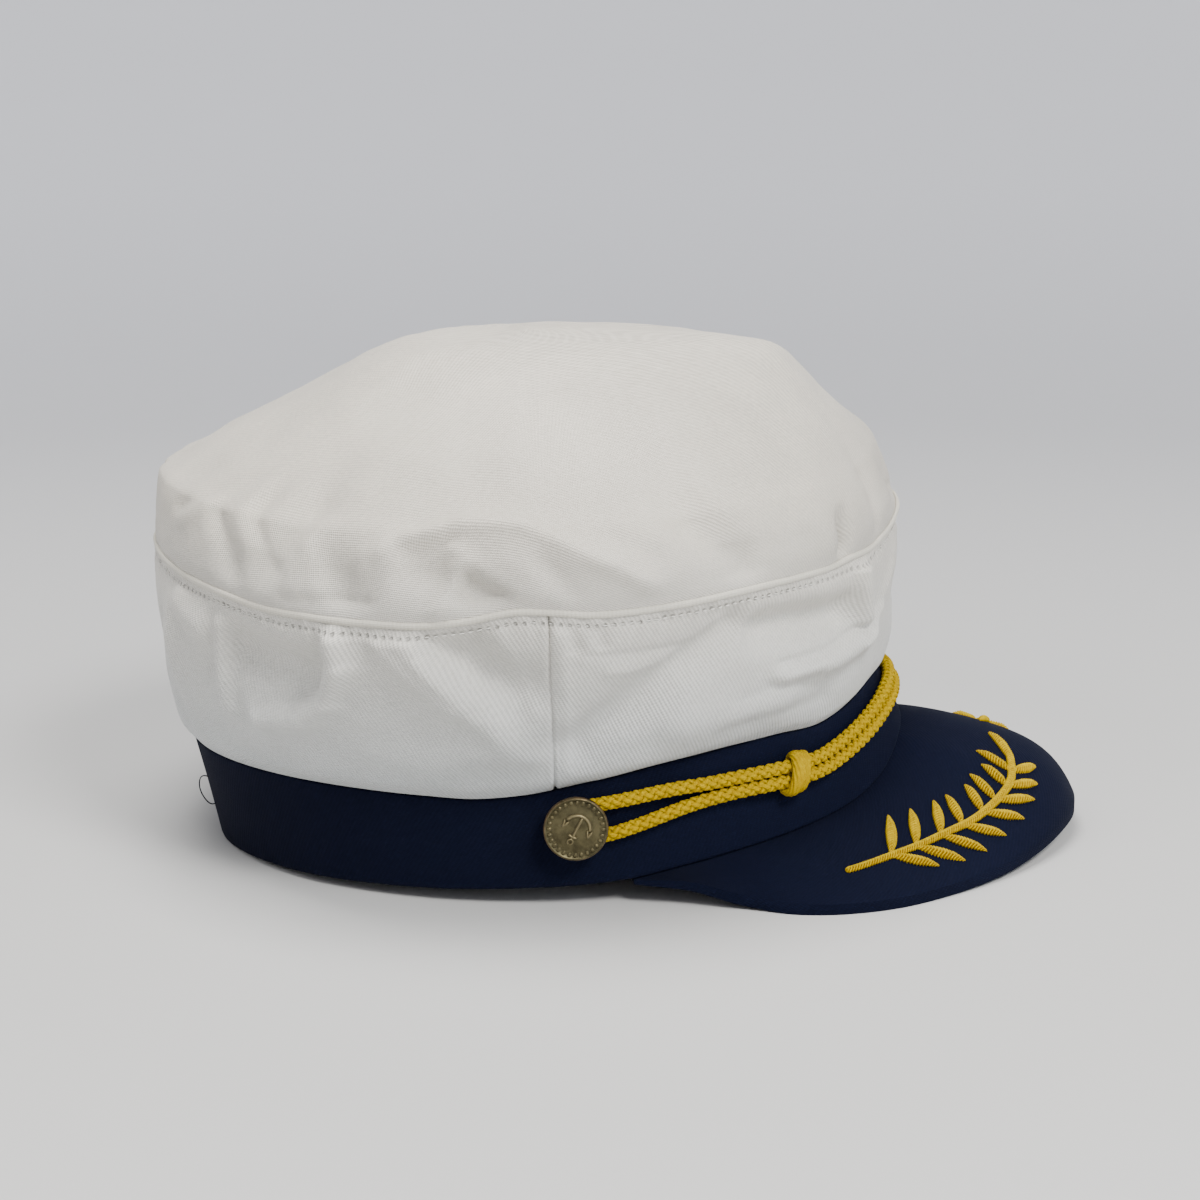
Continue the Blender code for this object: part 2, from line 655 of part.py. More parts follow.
white_twill = material("white cotton twill", (0.60, 0.59, 0.55), 0.7)
navy_twill = material("navy twill", (0.010, 0.013, 0.026), 0.9)
yellow_cord = material("yellow cord", (0.60, 0.36, 0.02), 0.7)
gold_thread = material("gold thread", (0.62, 0.37, 0.02), 0.45)
antique_brass = material("antique brass", (0.16, 0.11, 0.05), 0.45, 0.9)

pieces = [
    make_band(navy_twill),
    make_panel("side_panel_front", -SIDE_SEAM_ANGLE, SIDE_SEAM_ANGLE, white_twill),
    make_panel("side_panel_back", SIDE_SEAM_ANGLE, 360 - SIDE_SEAM_ANGLE, white_twill),
    make_top(white_twill),
    make_peak(navy_twill),
    make_cord(yellow_cord),
]
for side_name, side in (("right", -1), ("left", 1)):
    pieces.append(make_sprig("laurel_" + side_name, side, gold_thread))
    pieces.append(make_knot("cord_knot_" + side_name, side, yellow_cord))
    pieces.append(make_button("button_" + side_name, side, antique_brass))
centre_on_floor(pieces)
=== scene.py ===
"""Captain hat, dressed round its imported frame: white twill crown, navy band and peak, braided cord.

Everything is in metres in the frame of the CAD: +X forward, +Y the wearer's left, +Z up. Angles are in
degrees round the head from the front, positive to the wearer's left, so the near side is negative.
"""
from functools import partial
from math import cos, exp, pi, radians, sin, sqrt, tau

import bmesh
import bpy
from mathutils import Matrix, Vector, noise


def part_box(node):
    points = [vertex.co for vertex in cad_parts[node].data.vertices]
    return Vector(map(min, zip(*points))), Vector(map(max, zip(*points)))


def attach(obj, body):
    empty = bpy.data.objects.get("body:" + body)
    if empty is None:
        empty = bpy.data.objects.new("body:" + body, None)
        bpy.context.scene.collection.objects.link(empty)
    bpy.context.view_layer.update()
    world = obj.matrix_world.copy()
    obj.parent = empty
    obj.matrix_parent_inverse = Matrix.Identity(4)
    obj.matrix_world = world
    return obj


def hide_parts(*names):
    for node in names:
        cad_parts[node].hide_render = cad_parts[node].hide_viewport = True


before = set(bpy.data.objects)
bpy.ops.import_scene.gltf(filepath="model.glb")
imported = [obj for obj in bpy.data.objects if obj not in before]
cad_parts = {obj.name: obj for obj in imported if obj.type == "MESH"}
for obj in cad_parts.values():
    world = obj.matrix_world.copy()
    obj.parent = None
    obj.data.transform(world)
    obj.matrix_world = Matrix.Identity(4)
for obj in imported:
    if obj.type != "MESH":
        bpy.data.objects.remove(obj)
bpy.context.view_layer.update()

# The view
# Not part of the hat: the camera stands level with its right side and looks down a little, a pale studio
# bowl makes the floor and the background, its far wall painted paler than the floor as painted light, and
# four square lamps hang above and around it
BAND_LENGTH = 0.2025
BAND_WIDTH = 0.16
CAMERA_DISTANCE = 0.6
CAMERA_RISE = radians(12)
CAMERA_AIM = Vector((0.012, 0.0, 0.0658))
LENS = 61.0
BOWL_PROFILE = ((0.0, 0.0), (1.0, 0.0), (1.3, 0.03), (1.55, 0.12), (1.75, 0.3), (1.85, 0.6), (1.9, 1.2))
FLOOR_COLOUR = (0.54, 0.54, 0.535)
# Painted light: the far wall of the bowl is painted much paler than the floor
BACKDROP_PAINTED_LIGHT = (0.93, 0.94, 0.98)
SKY_COLOUR = (0.86, 0.9, 1.0)
SKY_STRENGTH = 0.25

band_low, band_high = (Vector(corner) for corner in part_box("hat_band"))
RIM_CENTRE = Vector((band_high.x - BAND_LENGTH / 2, (band_low.y + band_high.y) / 2, 0))


def new_object(name, data):
    """An object in the scene, at the origin."""
    made = bpy.data.objects.new(name, data)
    bpy.context.scene.collection.objects.link(made)
    return made


camera_data = bpy.data.cameras.new("camera")
camera_data.lens = LENS
camera_data.clip_start = 0.01
camera = new_object("camera", camera_data)
towards = Vector((0, -cos(CAMERA_RISE), sin(CAMERA_RISE)))
camera.location = RIM_CENTRE + CAMERA_AIM + towards * CAMERA_DISTANCE
camera.rotation_euler = (pi / 2 - CAMERA_RISE, 0, 0)
bpy.context.scene.camera = camera


def set_inputs(tree, node, inputs):
    """Give each named input of a node its value, or link it to another node's output."""
    for name, value in inputs.items():
        if isinstance(value, bpy.types.NodeSocket):
            tree.links.new(value, node.inputs[name])
        else:
            node.inputs[name].default_value = value


def add_node(tree, kind, output, inputs=None, **settings):
    """Add a shader node with its inputs and settings; gives back one of its outputs."""
    made = tree.nodes.new("ShaderNode" + kind)
    for name, value in settings.items():
        setattr(made, name, value)
    set_inputs(tree, made, inputs or {})
    return made.outputs[output]


def calculate(add, operation, *values):
    """The result of a math node on numbers or other nodes' outputs."""
    return add("Math", "Value", dict(enumerate(values)), operation=operation)


def map_range(add, value, low, high, to_low=0, to_high=1):
    """A value moved from the range of low to high to another range."""
    return add("MapRange", "Result", {"Value": value, "From Min": low, "From Max": high,
                                      "To Min": to_low, "To Max": to_high})


def mix_colours(add, share, low, high, blend_type="MIX"):
    """A mix of two colours, each of them three numbers or another node's output."""
    low, high = (item if isinstance(item, bpy.types.NodeSocket) else (*item, 1) for item in (low, high))
    return add("Mix", 2, {"Factor": share, 6: low, 7: high}, data_type="RGBA", blend_type=blend_type)


def new_material(name):
    """An empty material, a function that adds nodes to it, and one that sets its shader's inputs."""
    made = bpy.data.materials.new(name)
    made.use_nodes = True
    tree = made.node_tree
    return made, partial(add_node, tree), partial(set_inputs, tree, tree.nodes["Principled BSDF"])


def new_piece(name, bm, finish):
    """A finished mesh as an object at the origin, smooth, with its material."""
    mesh = bpy.data.meshes.new(name)
    bm.to_mesh(mesh)
    bm.free()
    mesh.shade_smooth()
    mesh.materials.append(finish)
    return new_object(name, mesh)


def lathe(profile, steps, merge):
    """A round mesh, turned about Z from the (reach, height) pairs of a profile."""
    bm = bmesh.new()
    ring = [bm.verts.new((reach, 0, height)) for reach, height in profile]
    for pair in zip(ring, ring[1:]):
        bm.edges.new(pair)
    bmesh.ops.spin(bm, geom=bm.verts[:] + bm.edges[:], cent=(0, 0, 0), axis=(0, 0, 1), angle=tau,
                   steps=steps, use_merge=True)
    bmesh.ops.remove_doubles(bm, verts=bm.verts, dist=merge)
    return bm


studio_grey, add, set_shader = new_material("studio grey")
place = add("TexCoord", "Object")
reach = add("VectorMath", "Value", {0: place}, operation="LENGTH")
far = map_range(add, reach, 0.2, 1.6)
# Painted light: the bowl's colour grows paler with distance, in place of lamp light that falls off there
set_shader({"Base Color": mix_colours(add, far, FLOOR_COLOUR, BACKDROP_PAINTED_LIGHT), "Roughness": 0.8})
bm = lathe(BOWL_PROFILE, 96, 0.0001)
bmesh.ops.recalc_face_normals(bm, faces=bm.faces)
if sum(face.normal.z for face in bm.faces) < 0:
    bmesh.ops.reverse_faces(bm, faces=bm.faces)
studio = new_piece("studio", bm, studio_grey)

# Lamps: place from the rim's centre, size, power and colour
for name, place, size, power, colour in (
    ("lamp_above", (-0.1, -0.1, 1.2), 0.6, 17.0, (1.0, 0.975, 0.94)),
    ("lamp_front", (0.5, -0.8, 0.92), 0.35, 17.0, (1.0, 0.98, 0.95)),
    ("lamp_left", (-0.8, -0.7, 0.9), 0.35, 3.0, (1.0, 0.975, 0.935)),
    ("lamp_right", (0.95, -0.55, 0.35), 0.6, 3.0, (0.86, 0.93, 1.0)),
):
    lamp_data = bpy.data.lights.new(name, "AREA")
    lamp_data.shape = "SQUARE"
    lamp_data.size = size
    lamp_data.energy = power
    lamp_data.color = colour
    lamp = new_object(name, lamp_data)
    lamp.location = RIM_CENTRE + Vector(place)
    aim = RIM_CENTRE + Vector((0, 0, 0.06)) - lamp.location
    lamp.rotation_euler = aim.to_track_quat("-Z", "Y").to_euler()
world = bpy.data.worlds.new("studio")
world.use_nodes = True
set_inputs(world.node_tree, world.node_tree.nodes["Background"],
           {"Color": (*SKY_COLOUR, 1), "Strength": SKY_STRENGTH})
bpy.context.scene.world = world

# Hat band
# A strip of navy cotton twill over a stiff strip, sewn into an oval ring that fits the head. The hat lies
# tipped back on the rear of it, and its front stands up above the peak
BAND_HEIGHT = 0.03
BAND_WALL = 0.002
BAND_LEAN = 0.0075
BAND_TAPER = 0.0008
BAND_WAVE = 0.0004
BAND_EDGE = 0.0006
RIM_LIFT = 0.033
PANEL_HEIGHT = 0.058
NAVY = (0.0015, 0.0025, 0.0098)
NAVY_WORN = (0.0028, 0.0044, 0.0155)
RIB_PITCH = 0.001
WEFT_PITCH = 0.00055


def curves(columns, rows, flat_start=False, flat_end=False):
    """A smooth curve for each named column, read by the first column, that never overshoots its rows."""
    places = [row[0] for row in rows]
    spans = [after - before for before, after in zip(places, places[1:])]

    def curve(values):
        slopes = [(after - before) / span for before, after, span in zip(values, values[1:], spans)]
        tangents = [0.0 if flat_start else slopes[0]]
        for before, after in zip(slopes, slopes[1:]):
            tangents.append(0.0 if before * after <= 0 else 2 * before * after / (before + after))
        tangents.append(0.0 if flat_end else slopes[-1])

        def read(place):
            place = min(max(place, places[0]), places[-1])
            row = max(i for i in range(len(spans)) if i == 0 or places[i] <= place)
            t = (place - places[row]) / spans[row]
            pull_from, pull_to = tangents[row] * spans[row], tangents[row + 1] * spans[row]
            return (values[row] * (2 * t**3 - 3 * t**2 + 1) + pull_from * (t**3 - 2 * t**2 + t)
                    + values[row + 1] * (3 * t**2 - 2 * t**3) + pull_to * (t**3 - t**2))
        return read

    return {name: curve([row[i] for row in rows]) for i, name in enumerate(columns) if i}


# Heights round the head: shares of RIM_LIFT, BAND_HEIGHT and PANEL_HEIGHT, and of PANEL_BULGE
ROUND = curves(("angle", "rim", "band", "panel", "bulge"), (
    (0, 1.0, 0.53, 0.83, 0.7),
    (12, 0.915, 0.61, 0.815, 0.7),
    (19, 0.785, 0.72, 0.8, 0.6),
    (27, 0.655, 0.78, 0.8, 0.55),
    (37, 0.55, 0.785, 0.83, 0.6),
    (49, 0.465, 0.865, 0.81, 0.7),
    (60, 0.385, 0.905, 0.81, 0.8),
    (70, 0.3, 0.915, 0.825, 0.9),
    (80, 0.21, 0.9, 0.87, 1.0),
    (90, 0.165, 0.835, 0.945, 1.0),
    (97, 0.145, 0.815, 0.92, 1.0),
    (105, 0.12, 0.85, 0.89, 1.0),
    (120, 0.085, 0.905, 0.885, 1.0),
    (140, 0.045, 0.955, 0.93, 1.0),
    (155, 0.015, 0.985, 0.97, 0.95),
    (163, 0.0, 1.0, 0.99, 0.9),
    (180, 0.0, 1.0, 1.0, 0.9),
), flat_start=True, flat_end=True)


def around(name, angle):
    """A height share at any angle; the hat's left and right sides are alike."""
    return ROUND[name](abs((angle + 180) % 360 - 180))


def oval(angle, length, width, lean=0.0):
    """Point of an oval round the head, and the direction straight out of it."""
    turn = radians(angle)
    point = RIM_CENTRE + Vector((cos(turn) * length / 2 - lean, sin(turn) * width / 2, 0))
    out = Vector((cos(turn) / length, sin(turn) / width, 0)).normalized()
    return point, out


def rim_height(angle):
    return RIM_LIFT * around("rim", angle)


def band_height(angle):
    return BAND_HEIGHT * around("band", angle)


def panel_height(angle):
    return PANEL_HEIGHT * around("panel", angle)


def seam_height(angle):
    return rim_height(angle) + band_height(angle) + panel_height(angle)


def band_point(angle, share, out_by=0.0):
    """Point on the band's outside, from the rim (share 0) to its top edge (share 1)."""
    taper = BAND_TAPER * share
    point, out = oval(angle, BAND_LENGTH - taper, BAND_WIDTH - taper, BAND_LEAN * share)
    return point + out * out_by + Vector((0, 0, rim_height(angle) + band_height(angle) * share))


def lay_cloth(columns, rows, shape, flat, closed=True):
    """A grid of quads laid over a surface that takes its place from shape(across, up), both 0 to 1.

    Its UV map is in metres of the flat cloth, and each vertex keeps its place as an attribute.
    """
    bm = bmesh.new()
    bmesh.ops.create_grid(bm, x_segments=columns, y_segments=rows, size=0.5, calc_uvs=True)
    across = bm.verts.layers.float.new("across")
    up = bm.verts.layers.float.new("up")
    uv_map = bm.loops.layers.uv.verify()
    for face in bm.faces:
        for loop in face.loops:
            place = loop.vert.co
            loop[uv_map].uv = flat(place.x + 0.5, place.y + 0.5)
    for vert in bm.verts:
        vert[across], vert[up] = vert.co.x + 0.5, vert.co.y + 0.5
        vert.co = shape(vert[across], vert[up])
    if closed:
        bmesh.ops.remove_doubles(bm, verts=bm.verts, dist=0.000005)
    bm.normal_update()
    return bm, across, up


def round_edges(piece, width, segments, sharp):
    """Round the edges of a piece that turn by more than sharp degrees."""
    rounding = piece.modifiers.new("edge", "BEVEL")
    rounding.width = width
    rounding.segments = segments
    rounding.limit_method = "ANGLE"
    rounding.angle_limit = radians(sharp)


def thicken(piece, wall, edge):
    """Give a cloth piece its wall inwards, with rounded edges."""
    solid = piece.modifiers.new("wall", "SOLIDIFY")
    solid.thickness = wall
    solid.offset = -1
    round_edges(piece, edge, 2, 60)


def wave_scale(pitch):
    """The Scale that gives a wave texture one band to each pitch."""
    return tau / 20 / pitch


def twill(name, low_colour, high_colour, roughness, rib_depth, slant, sheen, crease_depth, gloss=0.12,
          painted_light_by_height=None, stitches=None):
    """Cotton twill: slanting ribs on the cloth's own UV map, uneven dye with painted shade in the rib
    grooves, and slight creases.

    The tints are painted light: a cool colour of painted shade at a low height and a warm colour of painted
    light at a high height. Stitches are the pitch, the drop below the seam and the size of a row of needle
    dimples, which are painted darker as painted shade.
    """
    made, add, set_shader = new_material(name)
    uv = add("UVMap", "UV")
    place = add("TexCoord", "Object")
    turned = add("Mapping", "Vector", {"Vector": uv, "Rotation": (0, 0, slant)})
    ribs = add("TexWave", "Fac", {
        "Vector": turned, "Scale": wave_scale(RIB_PITCH), "Distortion": 1.2, "Detail": 2.0,
        "Detail Scale": 0.6, "Detail Roughness": 0.6})
    weft = add("TexWave", "Fac", {
        "Vector": turned, "Scale": wave_scale(WEFT_PITCH), "Distortion": 0.8, "Detail": 1.0,
        "Detail Scale": 1.0}, bands_direction="Y")
    weave = calculate(add, "MULTIPLY_ADD", weft, weft, ribs)
    cloudy = add("TexNoise", "Fac", {"Vector": place, "Scale": 14.0, "Detail": 5.0, "Roughness": 0.6})
    slubs = add("TexNoise", "Fac", {"Vector": uv, "Scale": 900.0, "Detail": 3.0, "Roughness": 0.7})
    uneven = calculate(add, "ADD", cloudy, slubs)
    # Painted shade: the weave darkens the uneven dye in the rib grooves
    dye_and_groove_shade = calculate(add, "MULTIPLY_ADD", weave, 0.3, uneven)
    spread = map_range(add, dye_and_groove_shade, 0.84, 1.52)
    colour = mix_colours(add, spread, low_colour, high_colour)
    # Painted light: the colour turns cool and shaded low down and warm and lit high up
    if painted_light_by_height:
        (low, cool_shade), (high, warm_light) = painted_light_by_height
        rise = add("SeparateXYZ", "Z", {"Vector": place})
        level = map_range(add, rise, low, high)
        colour = mix_colours(add, 1.0, colour, mix_colours(add, level, cool_shade, warm_light), "MULTIPLY")
    creases = add("TexNoise", "Fac", {"Vector": place, "Scale": 55.0, "Detail": 4.0, "Roughness": 0.55})
    normal = add("Bump", "Normal", {"Height": creases, "Distance": crease_depth})
    if stitches:
        pitch, drop, size = stitches
        below = add("Attribute", "Fac", attribute_name="below_seam")
        run = add("SeparateXYZ", "X", {"Vector": uv})
        turns = calculate(add, "MULTIPLY", run, 1 / pitch)
        part = calculate(add, "FRACT", turns)
        aside = calculate(add, "SUBTRACT", part, 0.5)
        aside = calculate(add, "MULTIPLY", aside, pitch)
        down = calculate(add, "SUBTRACT", below, drop)
        off = add("CombineXYZ", "Vector", {"X": aside, "Y": down})
        reach = add("VectorMath", "Value", {0: off}, operation="LENGTH")
        hole = map_range(add, reach, size * 0.4, size)
        # Painted shade: each needle dimple is painted darker
        painted_hole_shade = map_range(add, hole, 0, 1, 0.62)
        colour = mix_colours(add, 1.0, colour, painted_hole_shade, "MULTIPLY")
        normal = add("Bump", "Normal", {"Height": hole, "Distance": size * 0.5, "Normal": normal})
    normal = add("Bump", "Normal", {"Height": weave, "Distance": rib_depth, "Normal": normal})
    set_shader({
        "Base Color": colour, "Normal": normal, "Roughness": roughness, "Specular IOR Level": gloss,
        "Sheen Weight": sheen, "Sheen Roughness": 0.4})
    return made


navy_twill = twill("navy twill", NAVY, NAVY_WORN, roughness=0.85, rib_depth=0.00004, slant=radians(35),
                   sheen=0.01, crease_depth=0.0003, gloss=0.07)


def band_cloth(across, up):
    """The band with the slight waves of a cloth-covered strip."""
    angle = across * 360 - 180
    wave = noise.noise(Vector((cos(radians(angle)) * 3, sin(radians(angle)) * 3, up)))
    return band_point(angle, up, BAND_WAVE * wave)


BAND_ROUND = pi * (BAND_LENGTH + BAND_WIDTH) / 2
bm, across, up = lay_cloth(360, 24, band_cloth, lambda a, b: (a * BAND_ROUND, b * BAND_HEIGHT))
band = new_piece("band_cloth", bm, navy_twill)
thicken(band, BAND_WALL, BAND_EDGE)
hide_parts("hat_band")
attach(band, "root")

# Peak
# A curved board between two layers of the same navy twill, sewn under the front of the rim. Its sides
# bend down to the table, and its edge is turned and pressed
GAP = 0.0003
PEAK_LENGTH = 0.0522
PEAK_WALL = 0.003
PEAK_MARGIN = 0.002
MARGIN_SHARE = 0.06
PEAK_END_ANGLE = 78.0
PEAK_EDGE = 0.0014
PEAK_ROUND = 0.27
NOSE_POWER = 10
PEAK = curves(("angle", "reach", "edge", "wall", "bend", "nose"), (
    (0, 1.0, 0.18, 1.0, 1.42, 0.4),
    (6, 0.98, 0.175, 1.0, 1.42, 0.38),
    (13, 0.912, 0.15, 1.0, 1.45, 0.3),
    (20, 0.83, 0.092, 1.0, 1.5, 0.18),
    (28, 0.742, 0.036, 1.0, 1.6, 0.05),
    (37, 0.655, 0.008, 1.0, 1.5, 0.0),
    (45, 0.59, 0.0, 1.0, 1.45, 0.0),
    (52, 0.5, 0.0, 1.0, 1.35, 0.0),
    (57, 0.4, 0.0, 1.0, 1.25, 0.0),
    (63, 0.225, 0.035, 1.0, 1.15, 0.0),
    (71, 0.09, 0.15, 0.8, 1.0, 0.0),
    (78, 0.0, 0.175, 0.4, 1.0, 0.0),
), flat_start=True)


def peak_point(angle, share, up=0.0):
    """Point on the top of the peak, from the rim (share 0) to its edge (share 1)."""
    side = abs(angle)
    start, out = oval(angle, BAND_LENGTH, BAND_WIDTH)
    top = rim_height(angle) - GAP
    edge = RIM_LIFT * PEAK["edge"](side) + PEAK_WALL * PEAK["wall"](side)
    nose, past_rim = PEAK["nose"](side), max(share, 0)
    drop = (1 - nose) * past_rim ** PEAK["bend"](side) + nose * past_rim ** NOSE_POWER
    height = top - (top - edge) * drop
    return start + out * (PEAK_LENGTH * PEAK["reach"](side) * share) + Vector((0, 0, height + up))


def peak_cloth(across, up):
    """Top of the peak from one end to the other, with a margin that goes under the rim."""
    angle = PEAK_END_ANGLE * (1 - 2 * across)
    if up < MARGIN_SHARE:
        margin = oval(angle, BAND_LENGTH, BAND_WIDTH)[1] * (BAND_WALL + PEAK_MARGIN)
        return peak_point(angle, 0) - margin * (1 - up / MARGIN_SHARE)
    return peak_point(angle, (up - MARGIN_SHARE) / (1 - MARGIN_SHARE))


bm, across, up = lay_cloth(156, 52, peak_cloth, lambda a, b: (a * PEAK_ROUND, b * PEAK_LENGTH),
                           closed=False)
lower = bmesh.ops.extrude_face_region(bm, geom=bm.faces[:])["geom"]
uv_map = bm.loops.layers.uv.verify()
for vert in (item for item in lower if isinstance(item, bmesh.types.BMVert)):
    angle = PEAK_END_ANGLE * (1 - 2 * vert[across])
    vert.co.z -= PEAK_WALL * PEAK["wall"](abs(angle))
for face in bm.faces:
    for loop in face.loops:
        loop[uv_map].uv.y -= loop.vert.co.z
bmesh.ops.recalc_face_normals(bm, faces=bm.faces)
peak = new_piece("peak_cloth", bm, navy_twill)
round_edges(peak, PEAK_EDGE, 4, 55)
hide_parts("peak")
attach(peak, "root")

# Laurel sprigs
# Two sprigs of golden yellow satin stitch worked over padding, so that they stand proud of the peak. The
# threads lie side by side across each leaf and across the stem, which tapers to its foot
THREAD_HEIGHT = 0.0012
STEM_WIDTH = 0.0022
LEAF_WIDTH = 0.0029
THREAD_PITCH = 0.0009
THREAD_RELIEF = 0.46
SIDE_RELIEF = 0.35
UPPER_SHARE = 0.75
END_ROUND = 0.35
STEM_STEPS = 24
LEAF_STEPS = 8
STEM_QUADS = 900
LEAF_QUADS = 150
# GOLD_DARK is partly the thread's own tone and partly painted shade in the gaps between threads
GOLD_DARK = (0.2, 0.095, 0.0)
GOLD_BRIGHT = (0.51, 0.36, 0.0)
STEM = curves(("step", "angle", "share"), (
    (0.0, 49.0, 0.655),
    (0.2, 41.0, 0.63),
    (0.4, 32.3, 0.645),
    (0.6, 23.7, 0.69),
    (0.8, 15.8, 0.705),
    (0.9, 10.5, 0.65),
    (1.0, 3.5, 0.5),
))
STEM_SIZE = curves(("along", "width"), ((0.0, 0.75), (0.7, 1.0), (0.84, 1.0), (0.92, 1.35), (1.0, 0.4)))

# Leaves: the step where each pair leaves the stem, then the angle and share of the inner and outer tips
LEAF_ROWS = (
    (0.195, 34.5, 0.29, 36.0, 0.84),
    (0.305, 30.5, 0.35, 32.0, 0.88),
    (0.415, 26.0, 0.41, 28.0, 0.89),
    (0.515, 23.5, 0.44, 23.5, 0.88),
    (0.62, 19.5, 0.49, 19.0, 0.88),
    (0.71, 17.0, 0.48, 15.0, 0.86),
    (0.795, 14.0, 0.51, 12.0, 0.83),
    (0.86, 11.0, 0.45, 8.5, 0.78),
)
LEAF_SIZE = curves(("along", "width"), ((0.0, 0.24), (0.12, 0.46), (0.3, 0.86), (0.52, 1.0),
                                       (0.75, 0.72), (0.92, 0.34), (1.0, 0.14)))


def yarn(name, low_colour, high_colour, slant, fibre_bands, fuzz_scale, full, relief_depth, roughness, gloss):
    """Yarn with fuzz and fine bands on the piece's own UV map, its low colour in the bands' grooves being
    painted shade; fibre_bands are a wave texture's inputs.
    """
    made, add, set_shader = new_material(name)
    uv = add("UVMap", "UV")
    turned = add("Mapping", "Vector", {"Vector": uv, "Rotation": (0, 0, slant)})
    fibres = add("TexWave", "Fac", {"Vector": turned, **fibre_bands})
    fuzz = add("TexNoise", "Fac", {"Vector": uv, "Scale": fuzz_scale, "Detail": 3.0})
    # Painted shade: the low colour fills the grooves between fibre bands, mixed with the fuzz's own tone
    fuzz_and_groove_shade = calculate(add, "MULTIPLY", fibres, fuzz)
    share = map_range(add, fuzz_and_groove_shade, 0, full)
    set_shader({
        "Base Color": mix_colours(add, share, low_colour, high_colour), "Roughness": roughness,
        "Normal": add("Bump", "Normal", {"Height": fibres, "Distance": relief_depth}),
        "Specular IOR Level": gloss})
    return made


gold_thread = yarn(
    "gold thread", GOLD_DARK, GOLD_BRIGHT, 0.0,
    {"Scale": wave_scale(THREAD_PITCH), "Distortion": 0.6, "Detail": 2.0, "Detail Scale": 2.0},
    fuzz_scale=1500.0, full=0.55, relief_depth=0.00005, roughness=0.6, gloss=0.04)


def close_ends(bm):
    """Fill the open ends of a skin, and turn its faces out."""
    bmesh.ops.holes_fill(bm, edges=[edge for edge in bm.edges if edge.is_boundary], sides=0)
    bmesh.ops.recalc_face_normals(bm, faces=bm.faces)


def join(bm, piece):
    """Move the whole mesh of piece into bm."""
    moved = bpy.data.meshes.new("moved")
    piece.to_mesh(moved)
    piece.free()
    bm.from_mesh(moved)
    bpy.data.meshes.remove(moved)


def stitched_ridge(bm, place, points, width_at, quads):
    """Add a padded ridge to bm along points given in place's own terms, with threads lying across it.

    Its skin goes over the ridge in UPPER_SHARE of the way round, and back under it in the rest.
    """
    spine = [place(*point) for point in points]
    ups = []
    for first, second in points:
        rise = (place(first + 1, second) - place(first - 1, second)).cross(
            place(first, second + 0.01) - place(first, second - 0.01)).normalized()
        ups.append(rise if rise.z > 0 else -rise)
    lengths = [0.0]
    for before, after in zip(spine, spine[1:]):
        lengths.append(lengths[-1] + (after - before).length)
    total = lengths[-1]

    def turn_at(round_it):
        if round_it <= UPPER_SHARE:
            return pi * (1 - round_it / UPPER_SHARE)
        return pi * (round_it - UPPER_SHARE) / (1 - UPPER_SHARE)

    def thread_map(along, round_it):
        return along * total + (abs(cos(turn_at(round_it))) + 0.5) * THREAD_PITCH, round_it * STEM_WIDTH

    def ridge(along, round_it):
        at = along * total
        step = max(i for i in range(len(lengths) - 1) if i == 0 or lengths[i] <= at)
        blend = (at - lengths[step]) / (lengths[step + 1] - lengths[step])
        up = ups[step].lerp(ups[step + 1], blend).normalized()
        across = up.cross(spine[step + 1] - spine[step]).normalized()
        half = width_at(along) / 2
        turn = turn_at(round_it)
        thread = 1 + THREAD_RELIEF * cos(tau * (at / THREAD_PITCH + abs(cos(turn))))
        side = cos(turn) * half * (1 + (thread - 1) * SIDE_RELIEF)
        crest = THREAD_HEIGHT * min(half * 2 / STEM_WIDTH, 1)
        height = sin(turn) ** 0.8 * crest * thread if round_it < UPPER_SHARE else 0.0
        if round_it > UPPER_SHARE:
            side = -cos(turn) * half
        end = min(at, total - at) / (STEM_WIDTH * END_ROUND)
        round_off = sqrt(max(1 - (1 - min(end, 1))**2, 0.02))
        return spine[step].lerp(spine[step + 1], blend) + across * side * round_off + up * height * round_off

    piece, across, up = lay_cloth(quads, 12, ridge, thread_map)
    close_ends(piece)
    join(bm, piece)


SIDES = (("right", -1), ("left", 1))
for side_name, side in SIDES:
    def on_peak(angle, share):
        return peak_point(angle * side, share, GAP / 3)

    bm = bmesh.new()
    stem = [(STEM["angle"](i / STEM_STEPS), STEM["share"](i / STEM_STEPS)) for i in range(STEM_STEPS + 1)]
    stitched_ridge(bm, on_peak, stem, lambda along: STEM_WIDTH * STEM_SIZE["width"](along), STEM_QUADS)
    for step, *tips in LEAF_ROWS:
        foot = Vector((STEM["angle"](step), STEM["share"](step)))
        for tip in (Vector(tips[:2]), Vector(tips[2:])):
            spine = [tuple(foot.lerp(tip, i / LEAF_STEPS)) for i in range(LEAF_STEPS + 1)]
            stitched_ridge(bm, on_peak, spine, lambda along: LEAF_WIDTH * LEAF_SIZE["width"](along),
                           LEAF_QUADS)
    sprig = new_piece("laurel_" + side_name + "_threads", bm, gold_thread)
    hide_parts("laurel_" + side_name)
    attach(sprig, "root")

